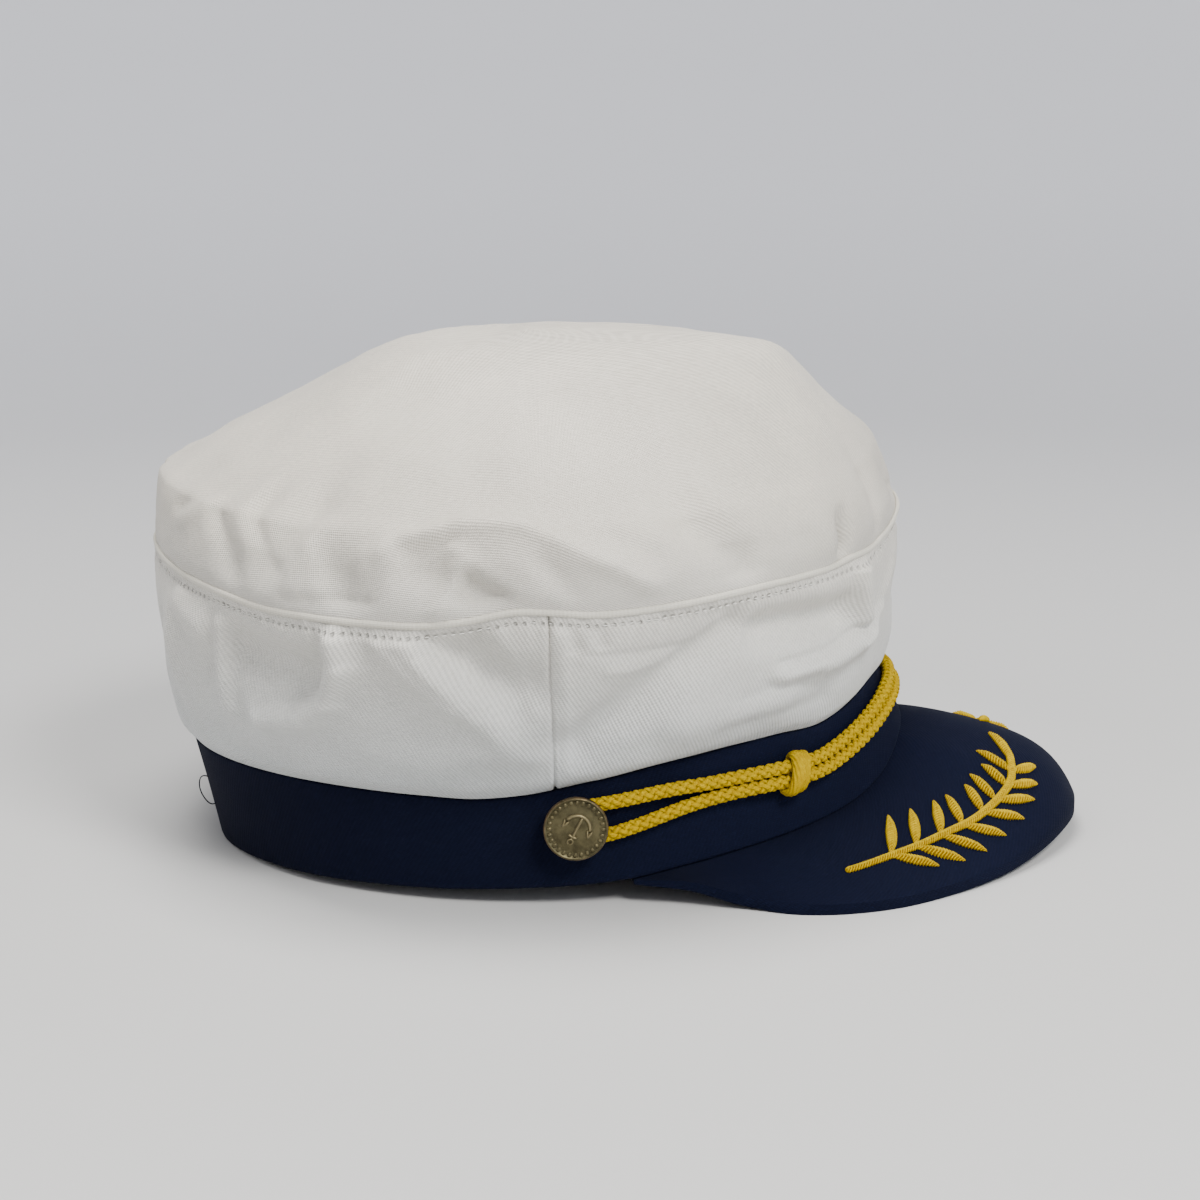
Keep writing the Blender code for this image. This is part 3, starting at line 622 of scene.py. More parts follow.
# Side panels
# The standing part of the white crown: two halves of white cotton twill, joined by an upright seam at
# each side, sewn to the band below and to the soft top above. They bulge and crumple over the band
PANEL_BULGE = 0.0045
CROWN_LENGTH = 0.213
CROWN_WIDTH = 0.217
CROWN_LEAN = 0.009
CROWN_RISE = 0.0578
CLOTH_WALL = 0.0016
CLOTH_EDGE = 0.0004
FOLD_DEPTH = 0.005
FOLD_WIDTH = 0.0095
FOLD_EASE = 0.08
WAVE_DEPTH = 0.0011
WAVE_SCALE = 38.0
RIPPLE_DEPTH = 0.00035
RIPPLE_SCALE = 120.0
SIDE_SEAM_ANGLE = 85.5
SEAM_DIP = 0.0009
SEAM_DIP_WIDTH = 0.0006
SEAM_LAP = 0.05
SEAM_FINE = 0.024
SEAM_FINE_SPAN = 0.006
STITCH_DROP = 0.0024
STITCH_PITCH = 0.0022
HOLE_SIZE = 0.00065
STITCH_SINK = 0.0003
STITCH_SINK_WIDTH = 0.0008
PUCKER = 0.0009
PUCKER_REACH = 0.006
PUCKER_TURN = 1.6
WHITE_LOW = (0.5, 0.5, 0.5)
WHITE_HIGH = (0.71, 0.71, 0.71)
PANEL = curves(("height", "out", "bulge"), (
    (0.0, 0.0, 0.0),
    (0.08, 0.1, 0.65),
    (0.24, 0.28, 0.95),
    (0.42, 0.46, 1.0),
    (0.62, 0.66, 0.85),
    (0.82, 0.85, 0.55),
    (1.0, 1.0, 0.0),
))


def fold_rows(*rows):
    """Folds whose levels, widths and rises are given in hundredths."""
    return [(a, b / 100, c, d / 100, width / 100, rise / 100) for a, b, c, d, width, rise in rows]


# Folds, each from one angle and level to another; then its width as a share of FOLD_WIDTH and its rise
# as a share of FOLD_DEPTH, which is below 0 for a hollow. They follow the frame's folds, with more on the
# near side
PANEL_FOLDS = fold_rows(
    (-131, 74, -121, 70, 85, -115),
    (-115, 96, -114, 78, 42, 75),
    (-114, 78, -117, 58, 42, 90),
    (-117, 58, -121, 46, 45, 95),
    (-121, 46, -129, 40, 50, 75),
    (-136, 84, -136, 40, 35, 40),
    (-147, 86, -141, 80, 50, 40),
    (-151, 65, -149, 40, 80, 45),
    (-105, 94, -97, 60, 45, 55),
    (-97, 60, -92, 36, 50, 45),
    (-97, 86, -90, 62, 70, -75),
    (-106, 62, -104, 42, 70, -35),
    (-60, 80, -68, 62, 80, -100),
    (-68, 62, -82, 26, 75, -95),
    (-38, 70, -54, 74, 75, -130),
    (-30, 48, -50, 44, 60, 60),
    (-33, 96, -31, 60, 48, 55),
    (-12, 50, 14, 50, 100, -45),
    (-50, 28, -66, 28, 90, 40),
    (62, 68, 82, 42, 100, -60),
    (56, 38, 70, 26, 90, 40),
    (100, 80, 112, 40, 90, 45),
    (122, 70, 134, 60, 100, -70),
    (148, 66, 152, 30, 90, 45),
    (176, 72, 194, 58, 100, -50),
)

# Sharper creases on and between the main folds, in the same terms
PANEL_CREASES = fold_rows(
    (-109, 94, -99, 56, 25, 28),
    (-117, 90, -118, 66, 20, -25),
    (-121, 58, -129, 46, 22, -18),
    (-134, 84, -134, 46, 20, -16),
    (-138, 90, -139, 60, 25, -18),
    (-103, 84, -96, 50, 16, 12),
    (-101, 94, -94, 68, 20, -14),
    (-92, 92, -88, 50, 25, 14),
    (-96, 30, -86, 22, 35, 12),
    (-82.4, 93, -82, 84, 22, -30),
    (-79, 92, -78.6, 85, 20, -26),
    (-83.8, 90, -83.6, 12, 20, 16),
    (-80, 80, -66, 74, 18, -12),
    (-78, 70, -68, 66, 18, 10),
    (-62, 86, -70, 68, 28, 20),
    (-34, 84, -31, 60, 24, 14),
    (-31, 57, -38, 53, 18, -34),
    (-38, 53, -51, 51, 18, -34),
    (-24, 58, -32, 48, 22, 24),
    (-44, 40, -58, 36, 30, -14),
    (-40, 20, -60, 18, 30, -12),
    (-16, 86, -22, 66, 30, 16),
    (-151, 86, -149, 50, 28, 16),
    (-158, 70, -156, 16, 40, -16),
    (-72, 18, -100, 14, 45, -10),
    (104, 88, 96, 40, 30, 20),
    (124, 50, 136, 36, 30, 18),
    (70, 80, 62, 50, 30, -18),
    (30, 70, 48, 44, 30, 18),
    (0, 80, 6, 40, 35, 14),
    (160, 80, 166, 30, 35, -18),
)


def fold(folds, angle, level, height):
    """How far the folds push the cloth out at a place: the strongest ridge and the deepest hollow."""
    per_degree = radians(1) * CROWN_WIDTH / 2
    ridge = hollow = 0.0
    for from_angle, from_level, to_angle, to_level, width, rise in folds:
        x = ((angle - from_angle + 180) % 360 - 180) * per_degree
        y = (level - from_level) * height
        run_x, run_y = (to_angle - from_angle) * per_degree, (to_level - from_level) * height
        share = min(max((x * run_x + y * run_y) / (run_x**2 + run_y**2), 0), 1)
        distance = ((x - run_x * share)**2 + (y - run_y * share)**2) / (FOLD_WIDTH * width)**2
        if distance < 9:
            push = FOLD_DEPTH * rise * exp(-distance)
            ridge, hollow = max(ridge, push), min(hollow, push)
    return ridge + hollow


def crumple(place):
    """Slight unevenness of soft cloth, in broad waves and small ones."""
    return WAVE_DEPTH * noise.noise(place * WAVE_SCALE) + RIPPLE_DEPTH * noise.noise(place * RIPPLE_SCALE)


def panel_base(angle, level):
    """Point on the unfolded side panel, from the band (level 0) to the crown seam (level 1)."""
    low, out_low = oval(angle, BAND_LENGTH - BAND_TAPER, BAND_WIDTH - BAND_TAPER, BAND_LEAN)
    high, out_high = oval(angle, CROWN_LENGTH, CROWN_WIDTH, CROWN_LEAN)
    share = PANEL["out"](level)
    out = out_low.lerp(out_high, share).normalized()
    push = PANEL_BULGE * PANEL["bulge"](level) * around("bulge", angle)
    bottom = rim_height(angle) + band_height(angle) + GAP
    height = bottom + (seam_height(angle) - GAP / 2 - bottom) * level
    return low.lerp(high, share) + out * push + Vector((0, 0, height))


def panel_across(share):
    """Share of the way across a panel for a column, with the columns close together beside its seams."""
    near = min(share, 1 - share)
    if near < SEAM_FINE:
        near *= SEAM_FINE_SPAN / SEAM_FINE
    else:
        near = SEAM_FINE_SPAN + (near - SEAM_FINE) * (0.5 - SEAM_FINE_SPAN) / (0.5 - SEAM_FINE)
    return near if share < 0.5 else 1 - near


CROWN_ROUND = pi * (CROWN_LENGTH + CROWN_WIDTH) / 2
STITCHES = round(CROWN_ROUND / STITCH_PITCH)
white_twill = twill(
    "white cotton twill", WHITE_LOW, WHITE_HIGH, roughness=0.5, rib_depth=0.00011, slant=radians(-27),
    sheen=0.08, crease_depth=0.0005, gloss=0.35,
    # Painted light: cool and darker low down, warm high up
    painted_light_by_height=((0.035, (0.87, 0.9, 0.895)), (0.105, (1.0, 0.935, 0.81))),
    stitches=(CROWN_ROUND / STITCHES, STITCH_DROP, HOLE_SIZE))
for half, first, last in (("front", -SIDE_SEAM_ANGLE, SIDE_SEAM_ANGLE),
                          ("back", SIDE_SEAM_ANGLE, 360 - SIDE_SEAM_ANGLE)):
    start, span = first - SEAM_LAP, last - first + 2 * SEAM_LAP

    def panel_angle(share):
        return start + span * panel_across(share)

    bm, across, up = lay_cloth(
        330, 80, lambda a, b: panel_base(panel_angle(a), b),
        lambda a, b: (panel_angle(a) / 360 * CROWN_ROUND,
                      PANEL_HEIGHT - (1 - b) * panel_height(panel_angle(a))), closed=False)
    drop = bm.verts.layers.float.new("below_seam")
    for vert in bm.verts:
        angle, level = panel_angle(vert[across]), vert[up]
        ease = min(level, 1 - level, FOLD_EASE) / FOLD_EASE
        to_seam = min(angle - start, start + span - angle) * radians(1) * CROWN_WIDTH / 2
        dip = SEAM_DIP * exp(-(to_seam / SEAM_DIP_WIDTH)**2)
        below = vert[drop] = (1 - level) * panel_height(angle)
        pull = noise.noise(Vector((angle / PUCKER_TURN, level, 0)))
        pucker = PUCKER * exp(-(below / PUCKER_REACH)**2) * pull
        pucker -= STITCH_SINK * exp(-((below - STITCH_DROP) / STITCH_SINK_WIDTH)**2)
        push = fold(PANEL_FOLDS, angle, level, PANEL_HEIGHT) + fold(PANEL_CREASES, angle, level, PANEL_HEIGHT)
        vert.co += vert.normal * ((push + crumple(vert.co)) * ease - dip + pucker)
    panel = new_piece("side_panel_" + half + "_cloth", bm, white_twill)
    thicken(panel, CLOTH_WALL, CLOTH_EDGE)
    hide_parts("side_panel_" + half)
    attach(panel, "root")

# Crown top
# One large round of the same white twill, cut wide and left soft, so that it stands up as a low dome and
# sinks into dents and pinches along its seam. It is sewn to the side panels with its edge turned
TOP = curves(("level", "back", "front", "side"), (
    (0.0, 1.0, 1.0, 1.0),
    (0.08, 1.002, 1.0, 1.01),
    (0.2, 0.996, 0.982, 1.004),
    (0.34, 0.985, 0.945, 0.965),
    (0.4, 0.93, 0.92, 0.935),
    (0.52, 0.815, 0.868, 0.87),
    (0.65, 0.675, 0.8, 0.785),
    (0.78, 0.53, 0.738, 0.68),
    (0.9, 0.395, 0.668, 0.535),
    (0.97, 0.265, 0.52, 0.375),
    (1.0, 0.06, 0.12, 0.09),
))
TOP_FOLDS = fold_rows(
    (-116, 20, -113, 13, 70, -70),
    (-121, 40, -126, 20, 65, -45),
    (-103, 25, -99, 18, 55, -60),
    (-96, 14, -92, 6, 50, -80),
    (-107, 29, -97, 36, 40, 35),
    (-97, 36, -88, 32, 40, 40),
    (-88, 32, -77, 20, 40, 35),
    (-77, 20, -71, 10, 35, 25),
    (-66, 48, -64, 32, 85, -50),
    (-64, 32, -57, 16, 80, -60),
    (-36, 17, -37, 3, 40, -80),
    (-137, 32, -133, 14, 50, -40),
    (-130, 40, -125, 18, 40, -40),
    (-20, 36, -4, 16, 110, -50),
    (38, 30, 52, 12, 100, -55),
    (84, 34, 98, 24, 90, 45),
    (108, 28, 122, 12, 100, -60),
    (150, 30, 166, 14, 100, -50),
)
TOP_CREASES = fold_rows(
    (-108, 27, -104, 33, 18, 20),
    (-104, 33, -96, 36.5, 17, 32),
    (-96, 36.5, -88, 33, 17, 32),
    (-88, 33, -83, 27.5, 17, 28),
    (-83, 27.5, -77, 20, 17, 24),
    (-77, 20, -72, 11, 18, 18),
    (-105, 29, -98, 32.5, 18, -28),
    (-97.5, 23, -100, 5, 22, 42),
    (-98, 29, -94, 19, 20, 28),
    (-94, 19, -90, 9, 20, 24),
    (-86, 22, -82, 8, 26, -20),
    (-110, 26, -112, 10, 24, 20),
    (-119, 28, -117, 8, 24, 22),
    (-150, 28, -143, 37, 24, -18),
    (-143, 37, -136, 46, 24, -15),
    (-149, 24, -140, 35, 28, 13),
    (-139, 36, -136, 24, 24, -17),
    (-136, 24, -134, 16, 24, -17),
    (-137, 36, -134, 18, 24, 13),
    (-131, 39, -128, 28, 24, -18),
    (-128, 28, -125, 18, 24, -17),
    (-129, 38, -125.5, 22, 24, 13),
    (-123, 6, -110, 8, 20, -20),
    (-37, 15, -37.5, 2, 14, -45),
    (-34.5, 18, -35.5, 3, 20, 34),
    (-70, 50, -62, 26, 30, -16),
    (-76, 30, -70, 22, 24, -16),
    (-60, 40, -54, 14, 34, 16),
    (-48, 26, -44, 6, 34, -12),
    (-22, 30, -26, 8, 30, -14),
    (-118, 56, -92, 60, 60, 12),
    (-60, 60, -84, 56, 60, -10),
    (4, 40, 12, 12, 40, 20),
    (60, 36, 68, 8, 32, 22),
    (70, 28, 76, 6, 30, -20),
    (96, 40, 110, 34, 24, 26),
    (114, 22, 120, 5, 28, 22),
    (136, 38, 128, 8, 30, -24),
    (168, 42, 176, 10, 32, 20),
    (186, 36, 178, 14, 30, -18),
)
TOP_CLOSE = 0.94
TOP_GRAIN = radians(-38)
TOP_REACH = 0.62


def top_base(across, up):
    """Point on the unfolded top, from the crown seam to the middle of the dome, where it closes."""
    angle, level = across * 360 - 180, min(up / TOP_CLOSE, 1)
    turn = radians(angle)
    inward = max(1 - up, 0) / (1 - TOP_CLOSE) if up > TOP_CLOSE else 1
    forward = TOP["front" if cos(turn) > 0 else "back"](level) * inward
    x = cos(turn) * CROWN_LENGTH / 2 * forward - CROWN_LEAN
    y = sin(turn) * CROWN_WIDTH / 2 * TOP["side"](level) * inward
    bottom, top = seam_height(angle) + GAP / 2, seam_height(180) + CROWN_RISE
    return RIM_CENTRE + Vector((x, y, bottom + (top - bottom) * level))


def top_flat(across, up):
    turn = tau * across + TOP_GRAIN
    reach = (1 - up) * CROWN_WIDTH * TOP_REACH
    return cos(turn) * reach, sin(turn) * reach


bm, across, up = lay_cloth(360, 84, top_base, top_flat)
for vert in bm.verts:
    level = min(vert[up] / TOP_CLOSE, 1)
    ease = min(level / FOLD_EASE, 1)
    angle = vert[across] * 360 - 180
    push = fold(TOP_FOLDS, angle, level, CROWN_RISE) + fold(TOP_CREASES, angle, level, CROWN_RISE)
    vert.co += vert.normal * (push + crumple(vert.co)) * ease
top = new_piece("crown_top_cloth", bm, white_twill)
thicken(top, CLOTH_WALL, CLOTH_EDGE)
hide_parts("crown_top")
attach(top, "root")

# Crown welt
# The seam between top and side panels: both edges are turned in and stand out as a thin rounded rib, with
# a row of machine stitches just below it that pulls the cloth into small puckers. The rib is the same white
# twill, painted darker and yellower as painted shade
WELT_HEIGHT = 0.0018
WELT_PROUD = 0.00055
STITCH_LENGTH = 0.0014
STITCH_THICK = 0.00038
# Painted shade: these colours paint the welt's white twill darker and yellower
WELT_SHADE_LOW = (0.5, 0.475, 0.4)
WELT_SHADE_HIGH = (0.6, 0.575, 0.5)
THREAD_LOW = (0.56, 0.55, 0.5)
THREAD_HIGH = (0.8, 0.79, 0.74)
WELT_WAVE = 0.0002

# Painted shade: a darker copy of the white twill for the welt
shaded_welt_twill = twill("welt twill painted darker", WELT_SHADE_LOW, WELT_SHADE_HIGH, roughness=0.65, rib_depth=0.00004,
                     slant=0.0, sheen=0.2, crease_depth=0.0002)


def welt_cloth(across, up):
    angle, turn = across * 360 - 180, up * tau
    point, out = oval(angle, CROWN_LENGTH, CROWN_WIDTH, CROWN_LEAN)
    wave = noise.noise(Vector((cos(across * tau) * 9, sin(across * tau) * 9, 0)))
    reach = WELT_PROUD * (1 + 0.4 * wave)
    return point + out * (cos(turn) * reach + WELT_PROUD * 0.4) + Vector(
        (0, 0, seam_height(angle) + WELT_HEIGHT * (0.25 + 0.5 * sin(turn)) + wave * WELT_WAVE))


bm, across, up = lay_cloth(720, 10, welt_cloth, lambda a, b: (a * CROWN_ROUND, b * WELT_HEIGHT * 3))
bmesh.ops.recalc_face_normals(bm, faces=bm.faces)
welt = new_piece("crown_welt", bm, shaded_welt_twill)
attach(welt, "root")

sewing_thread, add, set_shader = new_material("white sewing thread")
place = add("TexCoord", "Object")
fuzz = add("TexNoise", "Fac", {"Vector": place, "Scale": 900.0, "Detail": 2.0})
set_shader({"Base Color": mix_colours(add, fuzz, THREAD_LOW, THREAD_HIGH), "Roughness": 0.6})
bm = bmesh.new()
for i in range(STITCHES):
    angle = 360 * i / STITCHES - 180
    level = 1 - STITCH_DROP / panel_height(angle)
    here = panel_base(angle, level)
    run = (panel_base(angle + 0.5, level) - here).normalized()
    up = (panel_base(angle, level + 0.02) - here).normalized()
    placing = Matrix((run, up, run.cross(up))).transposed().to_4x4()
    placing.translation = here - run.cross(up) * STITCH_THICK * 0.9
    stretch = Matrix.Diagonal((STITCH_LENGTH / 2, STITCH_THICK / 2, STITCH_THICK / 2, 1))
    bmesh.ops.create_uvsphere(bm, u_segments=8, v_segments=4, radius=1, matrix=placing @ stretch)
stitching = new_piece("crown_stitching", bm, sewing_thread)
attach(stitching, "root")

# Cord
# One yellow cord, a round braid of eight strands, about 4 mm thick. It lies in a closed loop round the
# front of the band as two runs, and turns round the shank of the button at each side
CORD_DIAMETER = 0.0038
KNOT_WALL = 0.0011
BUTTON_ANGLE = 84.2
RUN_STOP = 1.5
RUN_STEPS = 56
TURN_ANGLES = (75, 50, 25, 0, -25, -50, -75)
CROSSINGS = 4
BRAID_PITCH = 0.0029
BRAID_RADIUS = 0.0012
BRAID_WEAVE = 0.00036
STRAND_WIDTH = 0.00072
STRAND_THICK = 0.00044
STRAND_SIDES = 6
SAMPLES_PER_PITCH = 8
FIBRE_PITCH = 0.00022
FIBRE_SLANT = radians(78)
# YELLOW_DARK is partly the yarn's own tone and partly painted shade in the cord's crevices
YELLOW_DARK = (0.27, 0.13, 0.0)
YELLOW_BRIGHT = (0.6, 0.44, 0.0)
CORD = curves(("angle", "middle", "spread", "lift"), (
    (0, 0.68, 1.0, 0.0),
    (12, 0.68, 1.0, 0.0),
    (20, 0.68, 1.0, 0.0),
    (29, 0.67, 1.0, 0.0),
    (37, 0.64, 1.0, 0.0),
    (42, 0.615, 1.0, 0.6),
    (46, 0.605, 1.0, 1.0),
    (53, 0.63, 1.0, 1.0),
    (58, 0.645, 1.0, 0.5),
    (63, 0.655, 1.08, 0.0),
    (68, 0.665, 1.42, 0.0),
    (74, 0.655, 1.88, 0.0),
    (81, 0.645, 2.25, 0.0),
    (90, 0.64, 2.3, 0.0),
), flat_start=True)


def cord_frame(angle, side=0):
    """Middle of the cord pair, or of its upper run (side 1) or lower run (side -1), with the directions
    along the run, up the band and out of it.
    """

    def middle(turn):
        share = CORD["middle"](abs(turn))
        along = band_point(turn + 1, share) - band_point(turn - 1, share)
        out = along.cross(band_point(turn, share + 0.01) - band_point(turn, share - 0.01)).normalized()
        lift = GAP + CORD_DIAMETER / 2 + (KNOT_WALL + GAP) * CORD["lift"](abs(turn))
        return band_point(turn, share) + out * lift, out

    run = (middle(angle + 1)[0] - middle(angle - 1)[0]).normalized()
    centre, out = middle(angle)
    rise = out.cross(run).normalized()
    spacing = CORD_DIAMETER * CORD["spread"](abs(angle))
    return centre + rise * spacing / 2 * side, run, rise, out


def shank_turn(side, degrees):
    """Place where the cord goes round a button's shank: 90 is its upper run, -90 its lower."""
    centre, run, rise, out = cord_frame(BUTTON_ANGLE * side)
    radius = (CORD_DIAMETER + GAP) * CORD["spread"](BUTTON_ANGLE) / 2
    turn = radians(degrees)
    return centre + rise * sin(turn) * radius + run * side * cos(turn) * radius, out


run_end = BUTTON_ANGLE - RUN_STOP
angles = [run_end * i / RUN_STEPS - run_end for i in range(2 * RUN_STEPS + 1)]
route = [cord_frame(angle, 1)[::3] for angle in angles]
route += [shank_turn(1, degrees) for degrees in TURN_ANGLES]
route += [cord_frame(angle, -1)[::3] for angle in reversed(angles)]
route += [shank_turn(-1, degrees) for degrees in reversed(TURN_ANGLES)]
lengths = [0.0]
for before, after in zip(route, route[1:] + route[:1]):
    lengths.append(lengths[-1] + (after[0] - before[0]).length)
cord_length = lengths[-1]
turns = round(cord_length / BRAID_PITCH / CROSSINGS)
samples = turns * CROSSINGS * SAMPLES_PER_PITCH
axis, step = [], 0
for i in range(samples):
    at = cord_length * i / samples
    while lengths[step + 1] < at:
        step += 1
    blend = (at - lengths[step]) / (lengths[step + 1] - lengths[step])
    (point, out), (next_point, next_out) = route[step], route[(step + 1) % len(route)]
    axis.append((point.lerp(next_point, blend), out.lerp(next_out, blend).normalized()))

yellow_cord = yarn(
    "yellow cord", YELLOW_DARK, YELLOW_BRIGHT, FIBRE_SLANT,
    {"Scale": wave_scale(FIBRE_PITCH), "Distortion": 2.0, "Detail": 3.0, "Detail Scale": 1.2},
    fuzz_scale=700.0, full=0.5, relief_depth=0.00006, roughness=0.7, gloss=0.05)

bm = bmesh.new()
for strand in range(2 * CROSSINGS):
    direction = 1 if strand % 2 else -1
    path = []
    for i, (point, out) in enumerate(axis):
        along = (axis[(i + 1) % samples][0] - axis[i - 1][0]).normalized()
        side = out.cross(along).normalized()
        turn = tau * (strand // 2) / CROSSINGS + direction * tau * turns * i / samples
        radial = side * cos(turn) + out * sin(turn)
        weave = BRAID_WEAVE * direction * cos(CROSSINGS * tau * turns * i / samples)
        path.append((point + radial * (BRAID_RADIUS + weave), radial))

    def strand_skin(along, round_it):
        i = round(along * samples) % samples
        point, radial = path[i]
        run = (path[(i + 1) % samples][0] - path[i - 1][0]).normalized()
        turn = tau * round_it
        return (point + radial * cos(turn) * STRAND_THICK
                + radial.cross(run).normalized() * sin(turn) * STRAND_WIDTH)

    piece, across, up = lay_cloth(samples, STRAND_SIDES, strand_skin,
                                  lambda a, b: (a * cord_length, b * STRAND_WIDTH * 4))
    join(bm, piece)
bmesh.ops.recalc_face_normals(bm, faces=bm.faces)
cord = new_piece("cord_braid", bm, yellow_cord)
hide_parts("cord")
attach(cord, "root")

# Slide knots
# At each side the cord's own yarn is wound twice round both runs and pulled tight, with a short end that
# sticks out below. The winding is flattened and its fibres slant
KNOT_ANGLE = 48.2
WRAP_TURNS = 2.15
WRAP_PITCH = 0.0024
WRAP_WIDTH = 0.0017
WRAP_THICK = 0.0013
WRAP_RIDGES = 9
WRAP_RELIEF = 0.22
WRAP_TWIST = 6.0
WRAP_LEAN = 0.0009
TAIL_LENGTH = 0.0018

for side_name, side in SIDES:
    centre, run, rise, out = cord_frame(KNOT_ANGLE * side)
    run = run * -side

    def wrap_point(along):
        """Middle of the winding: round both runs of the cord, and forward along them."""
        turn = tau * (WRAP_TURNS * along - 0.42)
        thick = WRAP_THICK * (0.78 + 0.22 * cos(turn)) * (1.15 - 0.4 * along)
        reach = CORD_DIAMETER / 2 + thick * 0.8
        upper = (CORD_DIAMETER + GAP) / 2 * sin(turn)
        forward = WRAP_PITCH * WRAP_TURNS * (along - 0.5) + WRAP_LEAN * sin(turn)
        tail = max(along - 0.94, 0) / 0.06
        return (centre + run * (forward + tail * TAIL_LENGTH * 0.4) + out * (cos(turn) * reach)
                + rise * (sin(turn) * reach + upper - tail * TAIL_LENGTH * 0.4), thick)

    def wrap_skin(along, round_it):
        point, thick = wrap_point(along)
        ahead, behind = wrap_point(min(along + 0.004, 1))[0], wrap_point(max(along - 0.004, 0))[0]
        heading = (ahead - behind).normalized()
        wide = (run - heading * run.dot(heading)).normalized()
        high = heading.cross(wide)
        turn = tau * round_it
        ridge = 1 + WRAP_RELIEF * (abs(cos(WRAP_RIDGES * (turn / 2 + WRAP_TWIST * along))) - 0.6)
        end = min(along, 1 - along) / 0.05
        round_off = sqrt(max(1 - (1 - min(end, 1))**2, 0.01))
        return (point + wide * cos(turn) * WRAP_WIDTH * (1.2 - 0.4 * along) * ridge * round_off
                + high * sin(turn) * thick * ridge * round_off)

    bm, across, up = lay_cloth(170, 54, wrap_skin, lambda a, b: (a * 0.06, b * 0.01))
    close_ends(bm)
    knot = new_piece("cord_knot_" + side_name + "_wraps", bm, yellow_cord)
    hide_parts("cord_knot_" + side_name)
    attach(knot, "root")

# Buttons
# A round stamped button of dull antique brass at each side, sewn on by its shank over the turn of the
# cord. It has a rolled rim, a border of small teeth and a raised anchor
ANCHOR_TILT = radians(142)
FACE_HEIGHT = 0.0017
TEETH = 28
TOOTH_SIZE = (0.00075, 0.00058, 0.00038)
TOOTH_PLACE = (0.007, 0, 0.0016)
TOOTH_WEAR_AND_HIGHLIGHT = 0.2
BUTTON_PROFILE = ((0.0, -0.0019), (0.0017, -0.0019), (0.0017, 0.0), (0.0078, 0.0), (0.0084, 0.0003),
                  (0.0085, 0.0009), (0.0084, 0.0016), (0.0081, 0.002), (0.0078, 0.0019), (0.0076, 0.0016),
                  (0.0058, 0.0016), (0.0054, 0.00172), (0.0, 0.0019))
BRASS_DARK = (0.045, 0.038, 0.018)
BRASS_DULL = (0.105, 0.09, 0.044)
# The bright brass of the raised parts is partly wear and partly painted highlight
BRASS_WORN_AND_HIGHLIGHT = (0.19, 0.158, 0.082)
COPPER = (0.34, 0.19, 0.1)

antique_brass, add, set_shader = new_material("antique brass")
uv = add("UVMap", "UV")
reach = add("VectorMath", "Value", {0: uv}, operation="LENGTH")
patches = add("TexNoise", "Fac", {"Vector": uv, "Scale": 260.0, "Detail": 5.0, "Roughness": 0.65})
grain = add("TexNoise", "Fac", {"Vector": uv, "Scale": 2600.0, "Detail": 3.0})
patina = map_range(add, patches, 0.35, 0.6)
dull = mix_colours(add, patina, BRASS_DARK, BRASS_DULL)
worn = map_range(add, reach, 0.008, 0.0084, 0, 0.45)
rim = calculate(add, "MULTIPLY", worn, patina)
raised = add("Attribute", "Fac", attribute_name="raised")
# Painted highlight: the raised parts are painted brighter, partly as wear
set_shader({
    "Base Color": mix_colours(add, raised, mix_colours(add, rim, dull, COPPER), BRASS_WORN_AND_HIGHLIGHT),
    "Normal": add("Bump", "Normal", {"Height": grain, "Distance": 0.00006}),
    "Metallic": 0.85, "Roughness": 0.42})


def stamped_bar(bm, points, width, height):
    """Add a rounded raised bar to bm along points on the button's face."""
    flat = [Vector((x, y, FACE_HEIGHT)) for x, y in points]

    def bar(along, round_it):
        at = along * (len(flat) - 1)
        i = min(int(at), len(flat) - 2)
        before, after = flat[max(i - 1, 0)], flat[min(i + 2, len(flat) - 1)]
        heading = (flat[i + 1] - flat[i]).lerp(after - before, 0.5).normalized()
        across = Vector((-heading.y, heading.x, 0))
        turn = tau * round_it
        end = min(along, 1 - along) * (len(flat) - 1)
        round_off = sqrt(max(1 - (1 - min(end * 2, 1))**2, 0.04))
        return (flat[i].lerp(flat[i + 1], at - i) + across * cos(turn) * width / 2 * round_off
                + Vector((0, 0, sin(turn) * height * round_off)))

    piece, across, up = lay_cloth(24, 10, bar, lambda a, b: (0, 0))
    close_ends(piece)
    join(bm, piece)


shank = ((0, -0.0038), (0, -0.001), (0, 0.0012), (0, 0.0028))
stock = ((-0.0014, 0.002), (0, 0.0021), (0.0014, 0.002))
ring = [(0.0007 * sin(tau * i / 12), 0.0035 + 0.0007 * cos(tau * i / 12)) for i in range(13)]
arms = [(0.0036 * sin(radians(a)), 0.0002 - 0.004 * cos(radians(a))) for a in range(-74, 75, 8)]
flukes = [((hand * 0.0026, -0.0012), (hand * 0.0036, 0.0006), (hand * 0.004, -0.0014)) for hand in (-1, 1)]

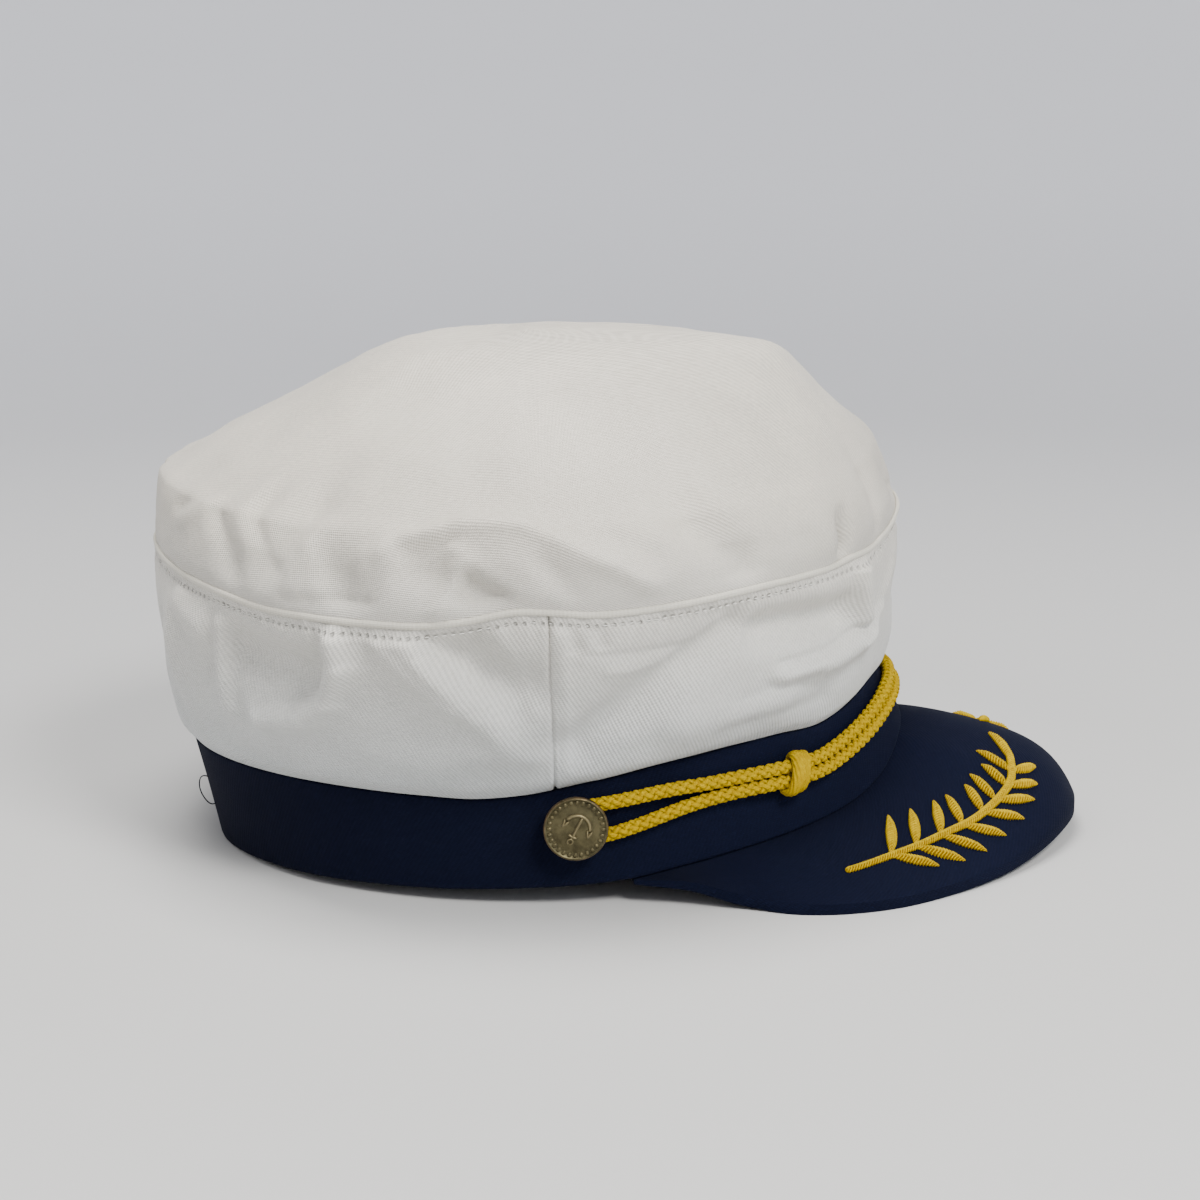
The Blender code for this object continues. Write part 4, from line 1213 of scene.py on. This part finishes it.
# The attribute is 0 on the plain disc, the teeth's share on the teeth and 1 on the anchor. It paints the
# raised parts brighter, partly as wear and partly as painted highlight
for side_name, side in SIDES:
    bm = lathe(BUTTON_PROFILE, 72, 0.00002)
    raised = bm.verts.layers.float.new("raised")
    for vert in bm.verts:
        vert[raised] = -1.0
    for i in range(TEETH):
        tooth = (Matrix.Rotation(tau * i / TEETH, 4, "Z") @ Matrix.Translation(TOOTH_PLACE)
                 @ Matrix.Diagonal((*TOOTH_SIZE, 1)))
        bmesh.ops.create_uvsphere(bm, u_segments=10, v_segments=6, radius=1, matrix=tooth)
    for vert in bm.verts:
        vert[raised] = min(vert[raised], TOOTH_WEAR_AND_HIGHLIGHT - 1)
    stamped_bar(bm, shank, 0.0009, 0.001)
    stamped_bar(bm, stock, 0.0008, 0.0009)
    stamped_bar(bm, ring, 0.0005, 0.0008)
    stamped_bar(bm, arms, 0.001, 0.0007)
    for fluke in flukes:
        stamped_bar(bm, fluke, 0.0008, 0.0009)
    raised = bm.verts.layers.float["raised"]
    for vert in bm.verts:
        vert[raised] += 1.0
    bmesh.ops.recalc_face_normals(bm, faces=bm.faces)
    bmesh.ops.rotate(bm, verts=bm.verts, cent=(0, 0, 0), matrix=Matrix.Rotation(ANCHOR_TILT, 3, "Z"))
    uv_map = bm.loops.layers.uv.verify()
    for face in bm.faces:
        for loop in face.loops:
            loop[uv_map].uv = loop.vert.co.xy
    centre, run, rise, out = cord_frame(BUTTON_ANGLE * side)
    placing = Matrix((run, rise, out)).transposed().to_4x4()
    placing.translation = centre + out * (CORD_DIAMETER / 2 + GAP)
    bmesh.ops.transform(bm, matrix=placing, verts=bm.verts)
    button = new_piece("button_" + side_name + "_brass", bm, antique_brass)
    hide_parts("button_" + side_name)
    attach(button, "root")

# Loose thread
# A short end of navy sewing thread that has come free at the back of the band and stands off it in a loop
THREAD_ANGLE = -163.0
THREAD_THICK = 0.00035
curve = bpy.data.curves.new("loose_thread", "CURVE")
curve.dimensions = "3D"
curve.bevel_depth = THREAD_THICK / 2
curve.bevel_resolution = 2
curve.use_fill_caps = True
spline = curve.splines.new("NURBS")
loop = [band_point(THREAD_ANGLE, share, out_by) for share, out_by in (
    (0.62, -0.0002), (0.66, 0.0016), (0.56, 0.0034), (0.42, 0.003), (0.33, 0.0012), (0.36, -0.0002))]
spline.points.add(len(loop) - 1)
for knot_point, place in zip(spline.points, loop):
    knot_point.co = (*place, 1)
spline.use_endpoint_u = True
curve.materials.append(navy_twill)
loose_thread = new_object("loose_thread", curve)
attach(loose_thread, "root")
